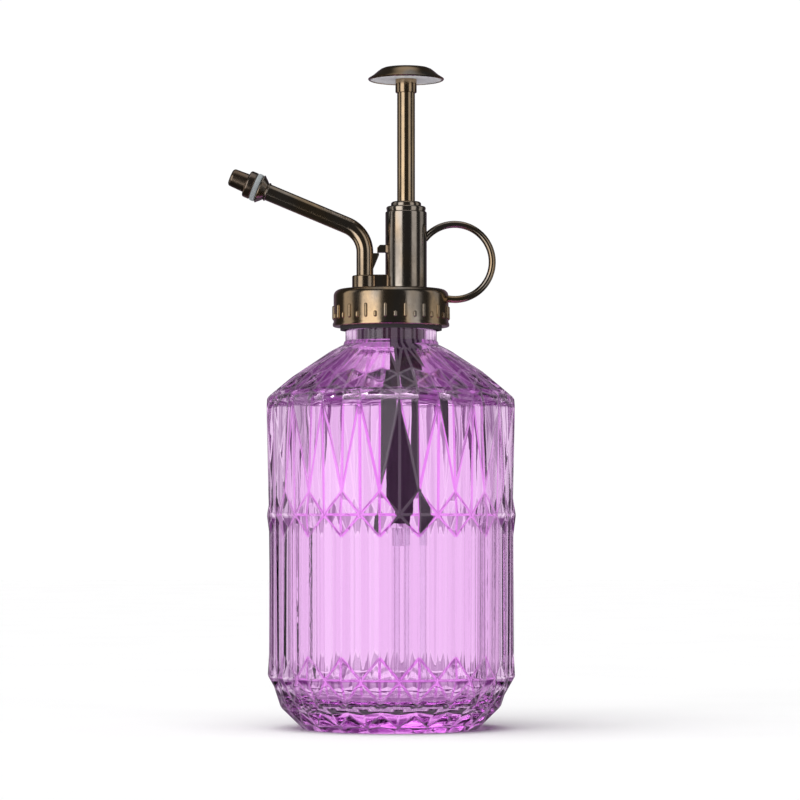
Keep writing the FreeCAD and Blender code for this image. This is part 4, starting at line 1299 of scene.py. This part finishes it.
@dataclass
class Spout:
    """The bent pipe with its snap wedge, and the nozzle on its end."""

    pipe_r: float = 2.65
    corner_z: float = 154.8
    bend: float = 9.2
    rise: float = 22.8
    reach: float = 34.0
    flare_r: float = 4.55
    flare_end: float = 36.0
    cap_start: float = 37.8
    flange_end: float = 40.3
    tip_end: float = 45.7
    catch_top: float = 148.4
    catch_width: float = 2.4
    sides: int = 40

    def _along(self) -> Vector:
        """The direction of the slanted stretch."""
        rise = math.radians(self.rise)
        return Vector((-math.cos(rise), 0, math.sin(rise)))

    def _slanted(self, x: float) -> Matrix:
        """The place whose own Z runs from the pipe's corner along its slanted stretch."""
        lean = Matrix.Rotation(math.radians(self.rise - 90), 4, "Y")
        return Matrix.Translation((x * MM, 0, self.corner_z * MM)) @ lean

    def _pipe(self, x: float) -> bpy.types.Object:
        """The pipe: a circle extruded up, spun round the bend and extruded along the slant.

        Args:
            x: where the pipe's upright stretch stands.

        Returns:
            The pipe, in place.
        """
        foot = heights_of("spout_pipe")[0]
        turn = math.radians(90 - self.rise)
        setback = self.bend * math.tan(turn / 2)
        Bench.begin()
        bpy.ops.mesh.primitive_circle_add(
            vertices=self.sides, radius=self.pipe_r * MM, fill_type="NGON", location=(x * MM, 0, foot * MM)
        )
        pipe = Bench.named("spout_tube")
        bpy.ops.object.transform_apply(location=True, rotation=True, scale=True)
        Bench.edit_all()
        rise = {"value": (0, 0, (self.corner_z - setback - foot) * MM)}
        bpy.ops.mesh.extrude_region_move(TRANSFORM_OT_translate=rise)
        centre = ((x - self.bend) * MM, 0, (self.corner_z - setback) * MM)
        bpy.ops.mesh.spin(steps=20, angle=turn, center=centre, axis=(0, 1, 0))
        run = {"value": self._along() * (self.reach - setback) * MM}
        bpy.ops.mesh.extrude_region_move(TRANSFORM_OT_translate=run)
        Bench.tidy()
        return pipe

    def build(self) -> None:
        """Makes the pipe, the wedge, the nozzle's holder, its seal ring and its cap."""
        x = axis_of("outlet_ball")
        pipe = self._pipe(x)
        side, top = x + self.pipe_r, self.catch_top
        root, tip = side - 0.7, side + 1.8
        corners = [(root, top - 5.4), (side, top - 4.8), (tip, top - 0.5), (tip, top), (root, top)]
        Bench.combine(pipe, Bench.wedge("catch", corners, self.catch_width, 0.15))
        Bench.smooth(pipe, 30)
        fit_on(pipe, Look.BRONZE, "head", "spout_pipe")
        place = self._slanted(x)
        for name, outline, look, body, node in self._nozzle():
            piece = Bench.put(Bench.lathe(name, outline, 72), place)
            Bench.smooth(piece, 32)
            fit_on(piece, look, body, node)

    def _nozzle(self) -> list:
        """The nozzle's turned pieces.

        Returns:
            For each: name, outline, look, body and the CAD node it replaces.
        """
        start, end = self.reach, self.flare_end
        holder = [(0, start - 3), (1.4, start - 3), (1.4, start - 1.1)]
        holder += arc((self.pipe_r, start - 0.75), 0.35, -60, 90, 6)
        holder += [(self.pipe_r + 0.2, start - 0.2), (self.pipe_r + 0.9, start + 0.5)]
        holder += [(self.flare_r - 0.35, end - 0.75)]
        holder += arc((self.flare_r - 0.3, end - 0.35), 0.3, -20, 90, 5)
        holder += [(2.9, end), (2.9, self.flange_end - 0.7), (0, self.flange_end - 0.7)]
        seal = [(3.2, end + 0.02)]
        seal += arc((self.flare_r - 0.6, end + 0.55), 0.5, -80, 0, 5)
        seal += arc((self.flare_r - 0.6, self.cap_start - 0.55), 0.5, 0, 80, 5)
        seal += [(3.2, self.cap_start - 0.02)]
        flange = self.flare_r - 0.25
        cap = [(3.2, self.cap_start)]
        cap += arc((flange - 0.3, self.cap_start + 0.3), 0.3, -90, 0, 4)
        cap += arc((flange - 0.7, self.flange_end - 0.7), 0.7, 0, 90, 6)
        cap += [(3.15, self.flange_end), (3.0, self.flange_end + 0.15), (2.82, self.tip_end - 1.1)]
        cap += arc((1.82, self.tip_end - 1.0), 1.0, 0, 90, 7)
        cap += [(0.9, self.tip_end), (0.45, self.tip_end - 0.4), (0.35, self.tip_end - 1.2)]
        cap += [(2.0, self.tip_end - 1.2), (2.0, self.flange_end - 0.4), (3.2, self.flange_end - 0.4)]
        return [
            ("nozzle_flare", holder, Look.BRONZE, "head", "nozzle_holder"),
            ("nozzle_grey_ring", seal, Look.GREY, "nozzle_ring", "nozzle_seal"),
            ("nozzle_screw_cap", cap, Look.NOZZLE, "nozzle", "nozzle_cap"),
        ]


# ================================================================ plunger


@dataclass
class Plunger:
    """The thumb button on its rod."""

    button_r: float = 11.95
    boss_r: float = 3.35
    rod_r: float = 2.8
    rim_above: float = 4.9

    def build(self) -> None:
        """Makes the button, its pale backing and the rod."""
        low, high = heights_of("button")
        x = axis_of("pump_jacket")
        rim = low + self.rim_above
        wide = self.button_r
        outline = [(2.2, low), (self.boss_r - 0.4, low), (self.boss_r - 0.1, low + 0.12)]
        outline += [(self.boss_r, low + 0.4), (self.boss_r, rim)]
        outline += [(wide - 0.75, rim), (wide - 0.7, rim - 0.85), (wide - 0.5, rim - 0.95)]
        outline += [(wide - 0.2, rim - 0.8), (wide, rim - 0.5), (wide - 0.1, rim - 0.3)]
        outline += [(wide - 1.65, rim + 0.7), (wide - 3.05, rim + 1.9), (wide - 4.0, rim + 2.6)]
        outline += [(wide - 4.9, high - 0.32), (wide - 6.9, high - 0.06), (0, high), (0, low)]
        button = Bench.put(Bench.lathe("thumb_button", outline, 120), Matrix.Translation((x * MM, 0, 0)))
        Bench.smooth(button, 35)
        fit_on(button, Look.BRONZE, "plunger", "button")

        under = heights_of("button_backing")[0]
        backing = [(self.boss_r + 0.02, rim - 0.05), (self.boss_r + 0.02, under + 0.3)]
        backing += [(self.boss_r + 0.8, under + 0.15), (wide - 3.0, under), (wide - 0.9, under + 0.1)]
        backing += [(wide - 0.72, under + 0.2), (wide - 0.72, rim - 0.05)]
        disc = Bench.put(Bench.lathe("button_underside", backing, 96), Matrix.Translation((x * MM, 0, 0)))
        Bench.smooth(disc, 35)
        fit_on(disc, Look.PALE, "plunger", "button_backing")

        foot = heights_of("plunger_rod")[0]
        rod_outline = [(0, foot), (1.4, foot), (1.5, foot + 0.2), (1.5, foot + 5)]
        rod_outline += [(self.rod_r, foot + 5), (self.rod_r, low), (0, low)]
        rod = Bench.put(Bench.lathe("push_rod", rod_outline, 64), Matrix.Translation((x * MM, 0, 0)))
        Bench.smooth(rod, 35)
        fit_on(rod, Look.BRONZE, "plunger", "plunger_rod")


# ================================================================ pump inside


@dataclass
class InnerPump:
    """The pump's hidden works: CAD nodes with their finishes, and the coil spring."""

    wire_r: float = 0.3
    turns: float = 16.0
    coil_r: float = 2.7
    pressed: float = 13.8

    def build(self) -> None:
        """Dresses the CAD nodes and makes the spring."""
        looks = {
            "cap_gasket": Look.SEAL, "thread_liner": Look.DARK, "gland_seal": Look.SEAL,
            "spout_oring": Look.SEAL, "swirl_insert": Look.DARK, "pump_cylinder": Look.DARK,
            "pump_jacket": Look.DARK, "valve_body": Look.CLEAR, "dip_tube": Look.CLEAR,
            "rod_stop": Look.DARK, "piston": Look.DARK, "piston_seal": Look.SEAL,
            "inlet_ball": Look.BALL, "outlet_ball": Look.BALL,
        }
        for node, look in looks.items():
            look.dress(frame["nodes"][node])
        self._spring()

    def _spring(self) -> None:
        """A coil of wire from the CAD spring's lowest point to its highest."""
        low, high = heights_of("return_spring")
        x = axis_of("pump_jacket")
        per_turn, start = 20, low + self.wire_r
        rise = high - self.wire_r - start
        count = round(self.turns * per_turn)
        curve = bpy.data.curves.new("lift_spring", "CURVE")
        curve.dimensions = "3D"
        curve.bevel_depth = self.wire_r * MM
        curve.bevel_resolution = 2
        curve.use_fill_caps = True
        spline = curve.splines.new("POLY")
        spline.points.add(count)
        for index, point in enumerate(spline.points):
            share = index / count
            angle = math.tau * self.turns * share
            out, side = self.coil_r * math.cos(angle), self.coil_r * math.sin(angle)
            place = (x + out, side, start + rise * share)
            point.co = (*(v * MM for v in place), 1)
        spring = bpy.data.objects.new("lift_spring", curve)
        bpy.context.scene.collection.objects.link(spring)
        Bench.take(spring)
        bpy.ops.object.convert(target="MESH")
        spring = bpy.context.active_object
        Bench.smooth(spring, 60)
        fit_on(spring, Look.SPRING, "head", "return_spring")
        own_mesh(spring)


# ================================================================ studio


@dataclass
class Studio:
    """A plain pale floor, soft light from all round and the camera."""

    eye: tuple = (2.8, -1035.0, 62.0)
    aim: tuple = (2.8, 0.0, 102.4)
    lens: float = 149.0
    floor_r: float = 3000.0
    base_glow: float = 0.035
    ceiling_glow: float = 0.45
    backdrop: tuple = (1.02, 1.02, 1.02)
    wall_behind: tuple = (0.16, 0.12, 0.17)
    seen_dark: tuple = (0.18, 0.05, 0.20)
    seen_bright: tuple = (1.08, 1.08, 1.08)
    sun_power: float = 3.1
    sun_spread: float = 70.0

    def build(self) -> None:
        """Makes the floor, the surroundings, the lamps and the camera."""
        self._floor()
        self._surroundings()
        self._lamps()
        self._camera()

    def _floor(self) -> None:
        """A wide pale floor that the bottle stands on."""
        Bench.begin()
        bpy.ops.mesh.primitive_circle_add(vertices=96, radius=self.floor_r * MM, fill_type="NGON")
        floor = Bench.named("studio_floor")
        material = bpy.data.materials.new("pale_floor")
        material.use_nodes = True
        desk = Desk(material.node_tree)
        shade = desk.mix(desk.grain(60.0, 3.0).stretched(0.3, 0.7), (0.93, 0.93, 0.93), (0.95, 0.95, 0.95))
        surface = desk.node("ShaderNodeBsdfPrincipled", {}, {"Base Color": shade, "Roughness": 0.7})
        output = desk.node("ShaderNodeOutputMaterial")
        desk.tree.links.new(surface.outputs[0], output.inputs["Surface"])
        floor.data.materials.append(material)
        floor.visible_transmission = False
        floor.visible_glossy = False

    def _soft_walls(self, around: Signal, up: Signal) -> Signal:
        """The light that metal and glass reflect: tall soft panels and a ceiling.

        Args:
            around: direction round the mister in degrees, 0 towards the camera's side.
            up: height of the direction, from -1 to 1.

        Returns:
            The brightness in each direction.
        """
        tall = up.stretched(0.7, 0.45) * up.stretched(-0.6, -0.35)
        light = self.base_glow
        for middle, half, soft, level in (
            (-42, 16, 7, 1.6), (46, 10, 8, 0.7), (-96, 8, 10, 0.5), (98, 8, 10, 0.4),
        ):
            light = abs(around - middle).stretched(half + soft, half) * tall * level + light
        return light + up.stretched(0.8, 0.95) * self.ceiling_glow

    @staticmethod
    def _striped(around: Signal, up: Signal, aside: Signal) -> Signal:
        """What shows through the glass: soft stripes and bands, plain white straight behind.

        Args:
            around: direction round the mister in degrees.
            up: height of the direction, from -1 to 1.
            aside: degrees away from straight behind.

        Returns:
            The brightness in each direction.
        """
        plain = aside.stretched(14.0, 3.0) * abs(up - 0.01).stretched(0.08, 0.05)
        broad, narrow = math.radians(17), math.radians(41)
        stripes = (around * broad + 0.8).cosine() + (around * narrow).cosine() * 0.6
        stripes = stripes.stretched(-1.3, 0.2) * 0.65 + 0.35
        bands = (up * 26.0).cosine().stretched(-1.0, 0.0) * 0.45 + 0.55
        high, low = up.stretched(0.26, 0.12), up.stretched(-0.45, -0.3)
        behind = stripes * bands * high * low * aside.stretched(90.0, 10.0, 0.3, 0.95)
        behind = behind + (1 - low) * 0.3
        return plain + (1 - plain) * behind

    def _surroundings(self) -> None:
        """Bright walls with darker gaps between them, so that metal and glass show their shape."""
        world = bpy.data.worlds.new("studio")
        bpy.context.scene.world = world
        world.use_nodes = True
        desk = Desk(world.node_tree)
        way = desk.add("ShaderNodeTexCoord", output="Generated")
        split = desk.node("ShaderNodeSeparateXYZ", {}, {0: way})
        x, y, up = (Signal(desk, split.outputs[i]) for i in range(3))
        around = x.bearing(y * -1.0)
        aside = abs(abs(around) - 180.0)
        behind = desk.mix(self._striped(around, up, aside), self.seen_dark, self.seen_bright)
        back = aside.stretched(46.0, 20.0) * up.stretched(0.5, 0.22)
        light = desk.mix(back, self._soft_walls(around, up), self.wall_behind)
        path = desk.node("ShaderNodeLightPath")
        colour = desk.mix(path.outputs["Is Transmission Ray"], light, behind)
        colour = desk.mix(path.outputs["Is Camera Ray"], colour, self.backdrop)
        background = desk.node("ShaderNodeBackground", {}, {"Color": colour})
        output = desk.node("ShaderNodeOutputWorld")
        desk.tree.links.new(background.outputs[0], output.inputs["Surface"])

    def _lamps(self) -> None:
        """A broad, soft light from above, even over the whole floor."""
        lamp = bpy.data.lights.new("overhead", "SUN")
        lamp.angle = math.radians(self.sun_spread)
        lamp.energy = self.sun_power
        holder = bpy.data.objects.new("overhead", lamp)
        holder.rotation_euler = (math.radians(12), math.radians(-10), 0)
        holder.visible_glossy = False
        bpy.context.scene.collection.objects.link(holder)

    def _camera(self) -> None:
        """The camera, a little above the table and tilted up at the mister."""
        camera = bpy.data.cameras.new("camera")
        camera.lens = self.lens
        camera.sensor_width = 36.0
        holder = bpy.data.objects.new("camera", camera)
        eye, aim = Vector(self.eye) * MM, Vector(self.aim) * MM
        holder.location = eye
        holder.rotation_euler = (aim - eye).to_track_quat("-Z", "Y").to_euler()
        bpy.context.scene.collection.objects.link(holder)
        bpy.context.scene.camera = holder


def main() -> None:
    """Builds the studio, then every assembly."""
    logging.basicConfig(level=logging.INFO, format="%(message)s")
    bpy.context.scene.view_settings.view_transform = "Standard"
    for assembly in (
        Studio(), GlassBottle(), PlatedCap(), PumpBody(), FingerRing(),
        Gland(), Spout(), Plunger(), InnerPump(),
    ):
        assembly.build()
        log.info("built %s", type(assembly).__name__)


if __name__ == "__main__":
    main()
